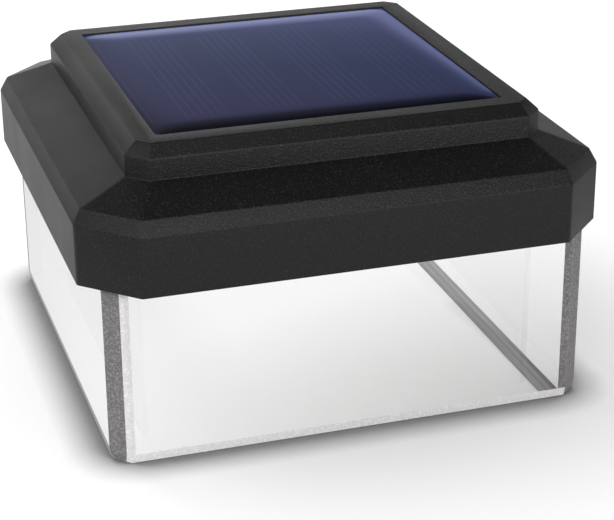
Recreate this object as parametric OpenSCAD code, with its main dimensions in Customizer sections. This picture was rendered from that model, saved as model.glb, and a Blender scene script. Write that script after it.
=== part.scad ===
// Solar light cap for a square timber deck post, in millimetres.
// +Z is up and -Y is the front. The origin is the middle of the skirt's bottom face.
// A black cap carries a solar panel on top. Below it hangs a thick clear skirt that the
// post slides into. LEDs above the skirt's top edge shine down through its wall.

/* [Post] */
// Width of the square timber post
post_w = 88.9; // [84:0.1:96]
// Room between the post and the skirt on each side
post_room = 2.05; // [1:0.05:3]
// Corner radius of the socket for the post
socket_r = 3; // [1:0.5:6]

/* [Clear skirt] */
// Thickness of the skirt's clear wall
skirt_wall = 9; // [7:0.5:11]
// Height of the skirt that shows below the brim
skirt_show = 40.8; // [30:0.2:60]
// Leg of the facet down each corner of the skirt
skirt_corner = 4; // [3:0.2:8]
// Height of the taper that leads each corner in under the brim
corner_lead = 1.2; // [0.8:0.1:2]
// Height of the frosted bevel round the skirt's foot
foot_bevel_h = 2.2; // [1:0.1:4]
// Depth of the frosted bevel round the skirt's foot
foot_bevel_in = 0.5; // [0.5:0.1:3]
// Thickness of the skirt's top flange and inner lip
lip_t = 2.5; // [2:0.1:4]
// Width of the inner lip that rests on the tray
lip_in = 4; // [3:0.25:5]

/* [Cap shell] */
// How far the brim stands out past the skirt
brim_over = 4.5; // [4:0.25:8]
// Leg of the big facet at each corner of the brim
brim_corner = 11.6; // [8:0.2:13]
// Height of the brim's upright band
brim_h = 13.6; // [12.6:0.2:20]
// Height of the bevel above the band
brim_bevel_h = 3.3; // [2:0.1:5]
// Depth of the bevel above the band
brim_bevel_in = 1.75; // [1:0.05:3]
// Rise of the shallow slope between the brim and the frame
slope_h = 4.2; // [3:0.1:8]
// Width of the raised frame round the panel
frame_w = 94.8; // [92:0.2:98]
// Leg of the small facet at each corner of the frame
frame_corner = 4.35; // [3:0.05:6]
// Height of the frame's upright band
frame_h = 4.8; // [3.6:0.1:8]
// Height of the bevel on top of the frame
frame_bevel_h = 2.6; // [1.5:0.1:4]
// Depth of the bevel on top of the frame
frame_bevel_in = 2.75; // [1:0.05:4]
// Wall of the cap shell
cap_wall = 2.6; // [2:0.1:3]
// Wall of the cap shell across its corner facets
corner_wall = 1.5; // [1.2:0.1:2]
// Thickness of the baffle wall between the electronics and the lights
baffle_t = 1.8; // [1.2:0.1:2.4]
// Width of the wire notch in the baffle wall
notch_w = 12; // [10:0.5:16]
// Height of the wire notch in the baffle wall
notch_h = 7; // [6.4:0.2:8]

/* [Solar panel] */
// Width of the panel
panel_w = 79; // [74:0.5:82]
// Dark gap round the panel
panel_gap = 0.3; // [0.2:0.05:0.6]
// How far the panel's top lies below the frame's top
panel_sink = 0.1; // [0:0.05:1]
// Thickness of the clear resin over the cells
resin_t = 1.7; // [1:0.1:2.5]
// Width of the rounded rim of the resin
resin_rim = 2.4; // [1:0.1:4]
// Fall of the resin's rim from the middle
resin_fall = 0.6; // [0.2:0.05:0.9]
// Thickness of the panel's circuit board
panel_board_t = 1.2; // [0.8:0.1:1.6]
// Thickness of the foam tape under the panel
tape_t = 0.8; // [0.5:0.1:1.2]
// Width of the foam tape
tape_w = 6; // [4:0.5:10]
// How far the foam tape's edge lies inside the panel's edge
tape_inset = 0.5; // [0.2:0.1:2]
// Thickness of the floor under the panel
panel_floor_t = 2.2; // [1.6:0.1:3]
// Bare edge of the panel beside the outer cells
cell_margin = 5.2; // [3:0.1:8]
// Bare edge of the panel at the ends of the cells
cell_end = 6.5; // [4:0.25:12]
// Thickness of one solar cell
cell_t = 0.25; // [0.2:0.05:0.4]
// Gap between neighbouring solar cells
cell_gap = 0.2; // [0.1:0.05:0.6]
// Width of the soldered ribbon at the end of each cell
ribbon_w = 2; // [1:0.25:3]
// Length of the soldered ribbon, half on the cell and half on the board
ribbon_l = 4; // [2:0.25:6]
// Thickness of the soldered ribbon
ribbon_t = 0.12; // [0.1:0.01:0.2]
// Diameter of the wire hole under the panel
wire_hole_d = 8; // [6:0.5:12]

/* [Tray] */
// Height of the tray's underside above the brim's lower edge
tray_up = 0.6; // [0.4:0.1:1.5]
// Thickness of the tray's plate
tray_t = 3; // [2.8:0.1:4]
// Room between the bosses for the cap screws and the skirt's lip
boss_room = 2; // [1:0.25:3]
// Radius of the bosses for the cap screws
boss_r = 3.5; // [3:0.1:4]
// Height of the tray's bosses above its plate
tray_boss_h = 2; // [1.6:0.1:3]
// Walls of the battery bay
bay_wall = 1.6; // [1.2:0.1:2]
// Distance of the battery bay behind the middle
bay_y = 18; // [17:0.5:19]

/* [Battery] */
// Diameter of the battery
cell_d = 14.5; // [13.5:0.1:14.9]
// Length of the battery with its button end
battery_l = 50.5; // [48:0.1:51]
// Diameter of the battery's button end
button_d = 5.5; // [4:0.1:7]
// Length of the battery's button end
button_l = 1.4; // [1:0.1:2]
// Free room round the battery
bay_room = 0.3; // [0.2:0.05:0.5]
// Thickness of the contact plates
contact_t = 0.5; // [0.3:0.05:0.8]
// Width of the contact plates
contact_w = 10; // [8:0.5:12]
// Width of the solder tags on the contact plates
tag_w = 4; // [3:0.25:5]
// How far the solder tags stand above the battery bay
tag_h = 1.8; // [1:0.1:2]
// Depth of the bump on the positive contact
bump_h = 0.7; // [0.4:0.05:1]
// Length of the contact spring under load
spring_l = 6; // [4:0.25:7]
// Radius of the spring at its wide end
spring_r_wide = 4.4; // [3.5:0.1:4.8]
// Radius of the spring at its narrow end
spring_r_tip = 2.4; // [1.8:0.1:3]
// Diameter of the spring's wire
spring_wire = 0.8; // [0.5:0.05:0.9]
// Turns of the spring
spring_turns = 4; // [3:1:4]

/* [Battery door] */
// How far the door laps past the battery bay on each long side
door_lap = 2.45; // [2.2:0.05:3.2]
// Corner radius of the door
door_r = 3; // [1:0.5:4]
// Thickness of the door
door_t = 1.3; // [1.2:0.1:1.6]
// Thickness of the seal on the door
seal_t = 0.5; // [0.3:0.1:0.7]
// Width of the seal on the door
seal_w = 1.4; // [1:0.1:1.6]
// Gap between the door and its recess
door_gap = 0.3; // [0.2:0.05:0.5]
// Distance of each door screw beyond the end of the battery bay
door_screw_out = 4.4; // [4.2:0.1:5]
// Distance of each door screw from the end of the door
door_screw_edge = 3.4; // [3:0.1:4]

/* [Circuit board] */
// Length of the main board
board_l = 52; // [50:1:60]
// Width of the main board
board_w = 24; // [22:0.5:26]
// Thickness of the circuit boards
board_t = 1.6; // [1.2:0.1:2]
// Distance of the main board in front of the middle
board_y = 19; // [18.5:0.5:21]
// Height of the posts under the main board
board_post_h = 3.8; // [3.8:0.1:5]
// Radius of the posts under the main board
board_post_r = 2.6; // [2.2:0.1:3]
// Distance of each board screw from the middle of the board
board_screw_at = 22.5; // [22:0.25:23]

// Distance of the driver chip to the left of the board's middle
chip_x = 10; // [8:0.5:12]
// Distance of the driver chip in front of the board's middle line
chip_y = 4; // [3:0.5:6]
// Distance of the choke to the right of the board's middle
choke_x = 12; // [10:0.5:14]
// Distance of the choke in front of the board's middle line
choke_y = 3; // [2:0.5:6]
// Distance of the upright can to the left of the board's middle
can_x = 18; // [16:0.5:20]
// Distance of the upright can behind the board's middle line
can_y = 7; // [5:0.5:8]

/* [Switch] */
// Distance of the switch to the left of the middle
switch_x = 10; // [6:0.5:14]
// Distance of the switch in front of the board's middle line
switch_y = 4; // [3:0.5:6]
// Length of the switch case
switch_l = 8.6; // [8:0.1:10]
// Width of the switch case
switch_w = 4.4; // [4:0.1:6]
// Height of the switch case
switch_h = 3.6; // [3.4:0.1:3.6]
// Travel of the slider
switch_travel = 2; // [1.5:0.1:2.4]
// Running gap round the slider
slider_gap = 0.2; // [0.15:0.05:0.3]
// Length of the slider's knob along its travel
knob_l = 2; // [1.5:0.1:2.2]
// Width of the slider's knob
knob_w = 1.4; // [1:0.1:1.6]
// How far the knob's end lies inside the tray's underside
knob_sink = 0.6; // [0.4:0.1:1.2]
// Length of the finger dish round the knob
dish_l = 11; // [9:0.5:14]
// Width of the finger dish round the knob
dish_w = 7; // [5:0.5:8]
// Depth of the finger dish
dish_t = 1.3; // [0.8:0.1:1.6]

/* [Lights] */
// Length of each light strip
strip_l = 80; // [70:1:84]
// Width of each light strip
strip_w = 6; // [5:0.5:7]
// Thickness of each light strip
strip_t = 1; // [0.8:0.1:1.6]
// Distance of each LED from the middle of its strip
led_at = 22; // [15:1:28]
// Length of an LED
led_l = 3.5; // [2.8:0.1:5]
// Width of an LED
led_w = 2.8; // [2:0.1:4]
// Height of an LED
led_h = 1; // [0.7:0.1:1.4]
// Air gap between the LEDs and the skirt's top edge
led_gap = 0.5; // [0.3:0.1:1]
// Distance of the outer ribs behind a strip from the strip's ends
rib_end = 7; // [5:0.5:10]
// Thickness of the ribs behind the strips
rib_t = 1.6; // [1.2:0.1:2]
// Width of the ribs across the strips
rib_w = 5; // [4:0.5:7]
// Thickness of the foam seal on the skirt's lip
gasket_t = 1; // [0.6:0.1:1.5]
// How much wider the foam seal is than the baffle, on each side
gasket_over = 0.3; // [0.1:0.1:0.6]

/* [Screws and fits] */
// Shank radius of the cap screws
cap_screw_r = 1.45; // [1.2:0.05:1.6]
// Length of the cap screws under the head
cap_screw_l = 11; // [8:0.5:13]
// Head radius of the cap screws
cap_head_r = 2.8; // [2.4:0.1:3]
// Head height of the cap screws
cap_head_h = 1.8; // [1.4:0.1:1.9]
// Shank radius of the door screws
door_screw_r = 1.25; // [1:0.05:1.4]
// Length of the door screws
door_screw_l = 8; // [6:0.5:9]
// Head radius of the countersunk door screws
door_head_r = 2.3; // [2:0.1:2.4]
// Head height of the countersunk door screws
door_head_h = 0.9; // [0.6:0.1:1.1]
// Shank radius of the board screws
board_screw_r = 1.1; // [0.9:0.05:1.2]
// Length of the board screws under the head
board_screw_l = 5; // [4:0.25:5]
// Head radius of the board screws
board_head_r = 2; // [1.7:0.1:2.3]
// Head height of the board screws
board_head_h = 1.3; // [1:0.1:1.6]
// How much a pilot hole is smaller than its screw, in radius
thread_bite = 0.2; // [0.1:0.05:0.3]
// Running clearance of a sliding screw in its hole, in radius
run_gap = 0.05; // [0.02:0.01:0.1]
// Free clearance of a screw through a plate, in radius
free_gap = 0.25; // [0.15:0.05:0.4]
// Clearance between fixed pieces that seat together
seat_gap = 0.1; // [0.05:0.05:0.2]
// Clearance of the tray and flange inside their walls
side_gap = 0.3; // [0.2:0.05:0.4]

/* [Wires] */
// Diameter of the wires
wire_d = 1.2; // [0.8:0.1:1.4]
// Distance between the two panel wires in their hole
wire_pair = 3; // [2:0.25:4]
// Distance of the panel wires in front of the middle of their hole
wire_front = 1; // [0:0.25:2]
// Height of the wires' bends above the main board
wire_rise = 4.2; // [3.6:0.2:5]
// Room between the battery wires and the battery bay
wire_room = 1.6; // [1.2:0.1:2]
// Distance of the panel and battery pads from the board's back edge
back_pad_in = 4; // [2:0.25:5]
// Distance of the strip pads from the board's front edge
front_pad_in = 3; // [2:0.25:5]
// Distance of each strip pad and panel pad from the middle
inner_pad_x = 4; // [3:0.25:5]
// Distance of each battery pad from the middle
outer_pad_x = 13; // [11:0.25:14]
// Distance of the corner wires' pads from the end of a strip
strip_pad_in = 2; // [1.5:0.25:3]
// Distance between the two corner wires
corner_pair = 3; // [2:0.25:4]
// Height of the corner wires' arches above the strips
corner_rise = 3; // [2:0.25:3.5]
// How far the corner wires cut across the corner
corner_cut = 5; // [3:0.5:7]

/* [Hidden] */

$fn = 48;
// Overlap that makes a cut run clear past a face
cut = 1;
// Diagonal of a square with a side of one
root = sqrt(2);
cell_count = 4;
wire_sides = 8;
wire_steps = 4;
spring_sides = 6;
spring_rings = 14 * spring_turns;

// Plan sizes
socket_w = post_w + 2 * post_room;
skirt_half = socket_w / 2 + skirt_wall;
brim_half = skirt_half + brim_over;
frame_half = frame_w / 2;
pocket_w = panel_w + 2 * panel_gap;
cell_w = (panel_w - 2 * cell_margin - (cell_count - 1) * cell_gap) / cell_count;
cell_l = panel_w - 2 * cell_end;
lip_half = socket_w / 2 - lip_in;
boss_at = lip_half - boss_room - boss_r;
tray_w = socket_w - 2 * side_gap;
tray_r = socket_r - side_gap;
brim_in_half = brim_half - cap_wall;
flange_half = brim_in_half - side_gap;
light_at = (socket_w + skirt_wall) / 2;
rib_at = strip_l / 2 - rib_end;
baffle_half = (lip_half + socket_w / 2 + baffle_t) / 2;

// Levels, from the foot up
brim_z = skirt_show;
bevel_z = brim_z + brim_h;
slope_z = bevel_z + brim_bevel_h;
frame_z = slope_z + slope_h;
band_z = frame_z + frame_h;
top_z = band_z + frame_bevel_h;
panel_top_z = top_z - panel_sink;
cells_z = panel_top_z - resin_t;
panel_board_z = cells_z - panel_board_t;
pocket_z = panel_board_z - tape_t;
ceiling_z = pocket_z - panel_floor_t;
tray_z = brim_z + tray_up;
tray_top_z = tray_z + tray_t;
tray_boss_z = tray_top_z + tray_boss_h;
lip_z = tray_top_z + seat_gap;
skirt_top_z = lip_z + lip_t;
gasket_top_z = skirt_top_z + gasket_t;
led_z = skirt_top_z + led_gap;
strip_z = led_z + led_h;
strip_top_z = strip_z + strip_t;
recess_z = tray_z + door_t + seal_t + seat_gap;
battery_z = recess_z + seat_gap + cell_d / 2;
bay_top_z = battery_z + cell_d / 2 + bay_room;
bay_roof_z = bay_top_z + bay_wall;
board_z = tray_top_z + board_post_h;
board_top_z = board_z + board_t;
head_z = tray_z + cap_head_h + side_gap;
door_boss_z = tray_z + door_screw_l + side_gap;

// Battery bay, along X
bay_l = 2 * contact_t + bump_h + battery_l + spring_l + 2 * seat_gap;
bay_w = cell_d + 2 * bay_room;
plus_x = bay_l / 2 - contact_t - bump_h - seat_gap;
minus_x = plus_x - battery_l;
tag_top_z = bay_roof_z + tag_h;
door_screw_at = bay_l / 2 + door_screw_out;
door_l = 2 * (door_screw_at + door_screw_edge);
door_w = bay_w + 2 * door_lap;

// Switch case and the slider's foot inside it
switch_z = board_z - switch_h;
case_wall = 1;
case_floor = 0.9;
case_roof = 0.5;
foot_l = switch_l - switch_travel - 2 * slider_gap - 2 * case_wall;
foot_w = switch_w - 2 * slider_gap - 2 * case_wall;

// Solder pads and bends of the wires
back_pad_y = board_w / 2 - board_y - back_pad_in;
front_pad_y = -board_y - board_w / 2 + front_pad_in;
bend_z = board_top_z + wire_rise;
tag_wire_z = bay_roof_z + wire_d / 2 + seat_gap;
bay_side_x = bay_l / 2 + bay_wall + wire_d / 2 + wire_room;
bay_front_y = bay_y - bay_w / 2 - bay_wall - wire_d / 2 - wire_room;
corner_z = strip_top_z + corner_rise;

// Middle between two points
function between(a, b) = (a + b) / 2;

// Routes of the wires, from their first solder point to their last. A side of 1 is right
// of the middle, or outside of the strips' middle line, and -1 is left or inside
function panel_route(side) =
    let (x0 = side * wire_pair / 2,
        x1 = side * inner_pad_x,
        start = [x0, -wire_front, ceiling_z - wire_d],
        end = [x1, back_pad_y, bend_z])
    [[x0, -wire_front, panel_board_z], start, between(start, end), end,
        [x1, back_pad_y, board_top_z]];

function battery_route(side) =
    let (corner = [side * bay_side_x, bay_front_y, bay_roof_z - wire_d],
        end = [side * outer_pad_x, back_pad_y, bend_z])
    [[side * bay_l / 2, bay_y, tag_wire_z], [side * bay_side_x, bay_y, tag_wire_z], corner,
        between(corner, end), end, [end[0], end[1], board_top_z]];

function feed_route(side) =
    let (x = side * inner_pad_x)
    [[x, front_pad_y, board_top_z], [x, front_pad_y, bend_z],
        [x, between(front_pad_y, -light_at), bend_z - wire_d], [x, -light_at, bend_z],
        [x, -light_at, strip_top_z]];

function corner_route(side) =
    let (near = strip_l / 2 - strip_pad_in,
        far = light_at + side * corner_pair / 2)
    [[near, -far, strip_top_z], [near, -far, corner_z], [far - corner_cut, -far, corner_z],
        [far, corner_cut - far, corner_z], [far, -near, corner_z],
        [far, -near, strip_top_z]];

// Colours
black_plastic = [0.14, 0.14, 0.15];
white_plastic = [0.9, 0.9, 0.88];
clear_plastic = [0.93, 0.96, 0.97, 0.35];
board_green = [0.12, 0.36, 0.2];
tinned = [0.78, 0.78, 0.8];
red_wire = [0.75, 0.08, 0.07];
black_wire = [0.05, 0.05, 0.05];

// Leg of a corner facet after every side has moved in by the same depth
function inset_leg(leg, depth) = leg - (2 - root) * depth;

// Leg of a corner facet for a half width and a distance of the facet from the middle
function leg_at(half, facet) = 2 * half - root * facet;

// Distance of a corner facet from the middle
function facet_at(half, leg) = (2 * half - leg) / root;

// Upright outline through [z, half width] pairs, mirrored about the middle
function outline(pairs) = concat(
    [for (p = pairs) [p[1], p[0]]],
    [for (i = [len(pairs) - 1 : -1 : 0]) [-pairs[i][1], pairs[i][0]]]);

// Prism with an upright outline, long enough to cross the whole cap
module side_prism(pairs, turn) {
    reach = 4 * brim_half;
    rotate([90, 0, turn])
        linear_extrude(height = reach, center = true)
            polygon(outline(pairs));
}

// Square form with corner facets, through [z, half width, facet leg] levels
module faceted_form(levels) {
    sides = [for (l = levels) [l[0], l[1]]];
    facets = [for (l = levels) [l[0], facet_at(l[1], l[2])]];
    intersection() {
        side_prism(sides, 0);
        side_prism(sides, 90);
        side_prism(facets, 45);
        side_prism(facets, 135);
    }
}

// Flat rectangle with true round corners
module round_rect(l, w, r) {
    square([l - 2 * r, w], center = true);
    square([l, w - 2 * r], center = true);
    for (x = [-1, 1])
        for (y = [-1, 1])
            translate([x * (l / 2 - r), y * (w / 2 - r)])
                circle(r);
}

// Upright block with round corners between two levels
module round_block(l, w, r, z0, z1) {
    translate([0, 0, z0])
        linear_extrude(height = z1 - z0)
            round_rect(l, w, r);
}

// Block centred on X and Y between two levels
module block(l, w, z0, z1) {
    translate([-l / 2, -w / 2, z0])
        cube([l, w, z1 - z0]);
}

// Upright cylinder between two levels
module post(r, z0, z1) {
    translate([0, 0, z0])
        cylinder(r = r, h = z1 - z0);
}

// Copies at the four cap screws
module at_cap_screws() {
    for (x = [-1, 1])
        for (y = [-1, 1])
            translate([x * boss_at, y * boss_at, 0])
                children();
}

// Copies at the two door screws
module at_door_screws() {
    for (x = [-1, 1])
        translate([x * door_screw_at, bay_y, 0])
            children();
}

// Copies at the two board screws
module at_board_screws() {
    for (x = [-1, 1])
        translate([x * board_screw_at, -board_y, 0])
            children();
}

// Cross slot for a screwdriver, open downwards at z0
module cross_slot(r, z0, depth) {
    slot_w = r * 0.3;
    slot_l = r * 1.2;
    block(slot_l, slot_w, z0 - cut, z0 + depth);
    block(slot_w, slot_l, z0 - cut, z0 + depth);
}

// The cap's outside, from the brim's lower edge to the frame's top
module cap_form() {
    faceted_form([
        [brim_z, brim_half, brim_corner],
        [bevel_z, brim_half, brim_corner],
        [slope_z, brim_half - brim_bevel_in, inset_leg(brim_corner, brim_bevel_in)],
        [frame_z, frame_half, frame_corner],
        [band_z, frame_half, frame_corner],
        [top_z, frame_half - frame_bevel_in, inset_leg(frame_corner, frame_bevel_in)]]);
}

// One level of the cap's hollow, a wall inside the given outer level
function hollow_level(z, half, leg) = [z, half - cap_wall,
    leg_at(half - cap_wall, facet_at(half, leg) - corner_wall)];

// The cap's hollow, up to the floor under the panel
module cap_hollow() {
    faceted_form([
        hollow_level(brim_z - cut, brim_half, brim_corner),
        hollow_level(bevel_z - cap_wall / 2, brim_half, brim_corner),
        hollow_level(slope_z - cap_wall, brim_half - brim_bevel_in,
            inset_leg(brim_corner, brim_bevel_in)),
        hollow_level(frame_z - cap_wall, frame_half, frame_corner),
        hollow_level(ceiling_z, frame_half, frame_corner)]);
}

// Baffle with a notch for the wires, screw bosses and ribs behind the light strips
module cap_inner_walls() {
    difference() {
        block(2 * baffle_half, 2 * baffle_half, gasket_top_z, ceiling_z);
        block(2 * (baffle_half - baffle_t), 2 * (baffle_half - baffle_t),
            gasket_top_z - cut, ceiling_z + cut);
        translate([0, -baffle_half, 0])
            block(notch_w, 4 * baffle_t, gasket_top_z - cut, gasket_top_z + notch_h);
    }
    at_cap_screws()
        post(boss_r, tray_boss_z, ceiling_z);
    for (side = [0 : 3])
        rotate([0, 0, 90 * side])
            for (x = [-rib_at, 0, rib_at])
                translate([x, -light_at, 0])
                    block(rib_t, rib_w, strip_top_z, ceiling_z);
}

module cap_shell() {
    pilot_r = cap_screw_r - thread_bite;
    color(black_plastic)
        difference() {
            cap_form();
            difference() {
                cap_hollow();
                cap_inner_walls();
            }
            block(pocket_w, pocket_w, pocket_z, top_z + cut);
            post(wire_hole_d / 2, ceiling_z - cut, pocket_z + cut);
            at_cap_screws()
                post(pilot_r, tray_boss_z - cut, head_z + cap_screw_l + cut);
        }
}

module panel_tape() {
    tape_out = panel_w - 2 * tape_inset;
    color([0.1, 0.1, 0.1])
        difference() {
            block(tape_out, tape_out, pocket_z, panel_board_z);
            block(tape_out - 2 * tape_w, tape_out - 2 * tape_w,
                pocket_z - cut, panel_board_z + cut);
        }
}

module panel_board() {
    color([0.07, 0.08, 0.16])
        block(panel_w, panel_w, panel_board_z, cells_z);
}

// Copies at the middle of each solar cell
module at_cells() {
    for (i = [0 : cell_count - 1])
        translate([(i - (cell_count - 1) / 2) * (cell_w + cell_gap), 0, 0])
            children();
}

module solar_cell(i) {
    color([0.14, 0.16, 0.32])
        translate([(i - (cell_count - 1) / 2) * (cell_w + cell_gap), 0, 0])
            block(cell_w, cell_l, cells_z, cells_z + cell_t);
}

// Ribbon from a cell's top down to the board behind it
module ribbon() {
    translate([0, cell_l / 2 - ribbon_l / 4 + ribbon_t / 2, 0])
        block(ribbon_w, ribbon_l / 2 + ribbon_t, cells_z + cell_t, cells_z + cell_t + ribbon_t);
    translate([0, cell_l / 2 + ribbon_t / 2, 0])
        block(ribbon_w, ribbon_t, cells_z, cells_z + cell_t + ribbon_t);
    translate([0, cell_l / 2 + ribbon_l / 4, 0])
        block(ribbon_w, ribbon_l / 2, cells_z, cells_z + ribbon_t);
}

module cell_ribbons() {
    color(tinned)
        at_cells()
            ribbon();
}

module panel_resin() {
    half = panel_w / 2;
    shoulder_z = panel_top_z - resin_fall;
    color([0.3, 0.34, 0.6, 0.4])
        difference() {
            faceted_form([
                [cells_z, half, 0],
                [shoulder_z, half, 0],
                [panel_top_z - resin_fall / 4, half - resin_rim / 3, 0],
                [panel_top_z, half - resin_rim, 0]]);
            at_cells()
                block(cell_w, cell_l, cells_z - cut, cells_z + cell_t);
            at_cells()
                ribbon();
        }
}

module clear_skirt() {
    foot_leg = inset_leg(skirt_corner, foot_bevel_in);
    flange_facet = facet_at(brim_half, brim_corner) - corner_wall - side_gap;
    flange_leg = leg_at(flange_half, flange_facet);
    seat_leg = max(skirt_corner, leg_at(skirt_half, flange_facet));
    color(clear_plastic)
        difference() {
            union() {
                faceted_form([
                    [0, skirt_half - foot_bevel_in, foot_leg],
                    [foot_bevel_h, skirt_half, skirt_corner],
                    [brim_z - corner_lead, skirt_half, skirt_corner],
                    [brim_z, skirt_half, seat_leg],
                    [skirt_top_z, skirt_half, seat_leg]]);
                faceted_form([
                    [lip_z, flange_half, flange_leg],
                    [skirt_top_z, flange_half, flange_leg]]);
            }
            round_block(socket_w, socket_w, socket_r, -cut, lip_z);
            round_block(2 * lip_half, 2 * lip_half, socket_r, -cut, skirt_top_z + cut);
        }
}

module skirt_gasket() {
    outer = 2 * (baffle_half + gasket_over);
    inner = 2 * (baffle_half - baffle_t - gasket_over);
    color([0.16, 0.16, 0.16])
        difference() {
            round_block(outer, outer, socket_r, skirt_top_z, gasket_top_z);
            round_block(inner, inner, socket_r, skirt_top_z - cut, gasket_top_z + cut);
        }
}

module base_tray() {
    tag_slot_l = contact_t + 2 * seat_gap;
    knob_slot_l = knob_l + switch_travel + 4 * slider_gap;
    knob_slot_w = knob_w + 4 * slider_gap;
    color(white_plastic)
        difference() {
            union() {
                round_block(tray_w, tray_w, tray_r, tray_z, tray_top_z);
                translate([0, bay_y, 0])
                    block(bay_l + 2 * bay_wall, bay_w + 2 * bay_wall, tray_z, bay_roof_z);
                at_cap_screws()
                    post(boss_r, tray_z, tray_boss_z);
                at_door_screws()
                    post(door_screw_r + bay_wall, tray_top_z - cut, door_boss_z);
                at_board_screws()
                    post(board_post_r, tray_top_z - cut, board_z);
            }
            translate([0, bay_y, 0]) {
                block(bay_l, bay_w, tray_z - cut, bay_top_z);
                round_block(door_l + 2 * door_gap, door_w + 2 * door_gap,
                    door_r + door_gap, tray_z - cut, recess_z);
                for (x = [-1, 1])
                    translate([x * (bay_l - tag_slot_l) / 2, 0, 0])
                        block(tag_slot_l, tag_w + 2 * seat_gap, bay_top_z - cut,
                            bay_roof_z + cut);
            }
            at_cap_screws() {
                post(cap_head_r + side_gap, tray_z - cut, head_z);
                post(cap_screw_r + free_gap, head_z - cut, tray_boss_z + cut);
            }
            at_door_screws()
                post(door_screw_r + run_gap, recess_z - cut, door_boss_z + cut);
            at_board_screws()
                post(board_screw_r - thread_bite, board_top_z - board_screw_l - side_gap,
                    board_z + cut);
            translate([-switch_x, -board_y - switch_y, 0]) {
                block(dish_l, dish_w, tray_z - cut, tray_z + dish_t);
                block(knob_slot_l, knob_slot_w, tray_z - cut, tray_top_z + cut);
            }
        }
}

module cap_screws() {
    color(tinned)
        at_cap_screws()
            difference() {
                union() {
                    post(cap_head_r, head_z - cap_head_h, head_z);
                    post(cap_screw_r, head_z - cap_head_h / 2, head_z + cap_screw_l);
                }
                cross_slot(cap_head_r, head_z - cap_head_h, cap_head_h / 2);
            }
}

// Cylinder along X between two places
module rod_x(r, x0, x1) {
    translate([x0, bay_y, battery_z])
        rotate([0, 90, 0])
            cylinder(r = r, h = x1 - x0);
}

module battery() {
    color([0.15, 0.45, 0.25]) {
        rod_x(cell_d / 2, minus_x, plus_x - button_l);
        rod_x(button_d / 2, plus_x - button_l - cut, plus_x);
    }
}

// Contact plate with its solder tag, its inner face at x and its body on the outer side
module contact_blade(x, side) {
    plate_z = battery_z - contact_w / 2;
    translate([x + side * contact_t / 2, bay_y, 0]) {
        block(contact_t, contact_w, plate_z, bay_top_z - seat_gap);
        block(contact_t, tag_w, plate_z, tag_top_z);
    }
}

module contact_plate() {
    bump_r = button_d / 2;
    color(tinned) {
        contact_blade(bay_l / 2 - contact_t, 1);
        rod_x(bump_r, plus_x + seat_gap, bay_l / 2 - contact_t / 2);
    }
}

// Point of the spring's wire at a share of its length, from the plate to the tip
function spring_point(s) =
    let (turn = 360 * spring_turns * s,
        r = spring_r_wide + (spring_r_tip - spring_r_wide) * s,
        x0 = -bay_l / 2 + contact_t + spring_wire / 4,
        x1 = minus_x - seat_gap - spring_wire / 2)
    [x0 + (x1 - x0) * s, bay_y + r * cos(turn), battery_z + r * sin(turn)];

module contact_spring() {
    line = [for (i = [0 : spring_rings]) spring_point(i / spring_rings)];
    color(tinned) {
        contact_blade(-bay_l / 2 + contact_t, -1);
        tube(line, spring_wire / 2, spring_sides);
    }
}

module battery_door() {
    color(white_plastic)
        translate([0, bay_y, 0])
            difference() {
                round_block(door_l, door_w, door_r, tray_z, tray_z + door_t);
                for (x = [-1, 1])
                    translate([x * door_screw_at, 0, 0]) {
                        post(door_screw_r + run_gap, tray_z - cut, tray_z + door_t + cut);
                        countersink(run_gap);
                    }
            }
}

// Cone of a countersunk head, wide end at the door's face
module countersink(gap) {
    translate([0, 0, tray_z])
        cylinder(r1 = door_head_r + gap, r2 = door_screw_r + gap, h = door_head_h);
}

module door_seal() {
    inner_l = bay_l + 2 * bay_room;
    inner_w = bay_w + 2 * bay_room;
    color([0.2, 0.2, 0.2])
        translate([0, bay_y, 0])
            difference() {
                block(inner_l + 2 * seal_w, inner_w + 2 * seal_w,
                    tray_z + door_t, tray_z + door_t + seal_t);
                block(inner_l, inner_w, tray_z, recess_z);
            }
}

module door_screws() {
    color(tinned)
        at_door_screws()
            difference() {
                union() {
                    countersink(0);
                    post(door_screw_r, tray_z, tray_z + door_screw_l);
                }
                cross_slot(door_head_r, tray_z, door_t / 2);
            }
}

module main_board() {
    color(board_green)
        difference() {
            translate([0, -board_y, 0])
                block(board_l, board_w, board_z, board_top_z);
            at_board_screws()
                post(board_screw_r + free_gap, board_z - cut, board_top_z + cut);
        }
}

module board_screws() {
    color(tinned)
        at_board_screws()
            difference() {
                union() {
                    post(board_head_r, board_top_z, board_top_z + board_head_h);
                    post(board_screw_r, board_top_z - board_screw_l,
                        board_top_z + board_head_h / 2);
                }
                translate([0, 0, 2 * board_top_z + board_head_h])
                    mirror([0, 0, 1])
                        cross_slot(board_head_r, board_top_z, board_head_h / 2);
            }
}

// Driver chip with four legs on each side, flat on the board
module driver_chip() {
    chip_l = 5;
    chip_w = 3.9;
    chip_h = 1.6;
    chip_lift = 0.1;
    leg_w = 0.45;
    leg_t = 0.3;
    leg_pitch = 1.27;
    leg_reach = 6;
    color([0.08, 0.08, 0.09])
        translate([-chip_x, -board_y - chip_y, board_top_z]) {
            block(chip_l, chip_w, chip_lift, chip_h);
            for (i = [-1.5 : 1.5])
                translate([i * leg_pitch, 0, 0])
                    block(leg_w, leg_reach, 0, leg_t);
        }
}

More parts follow.
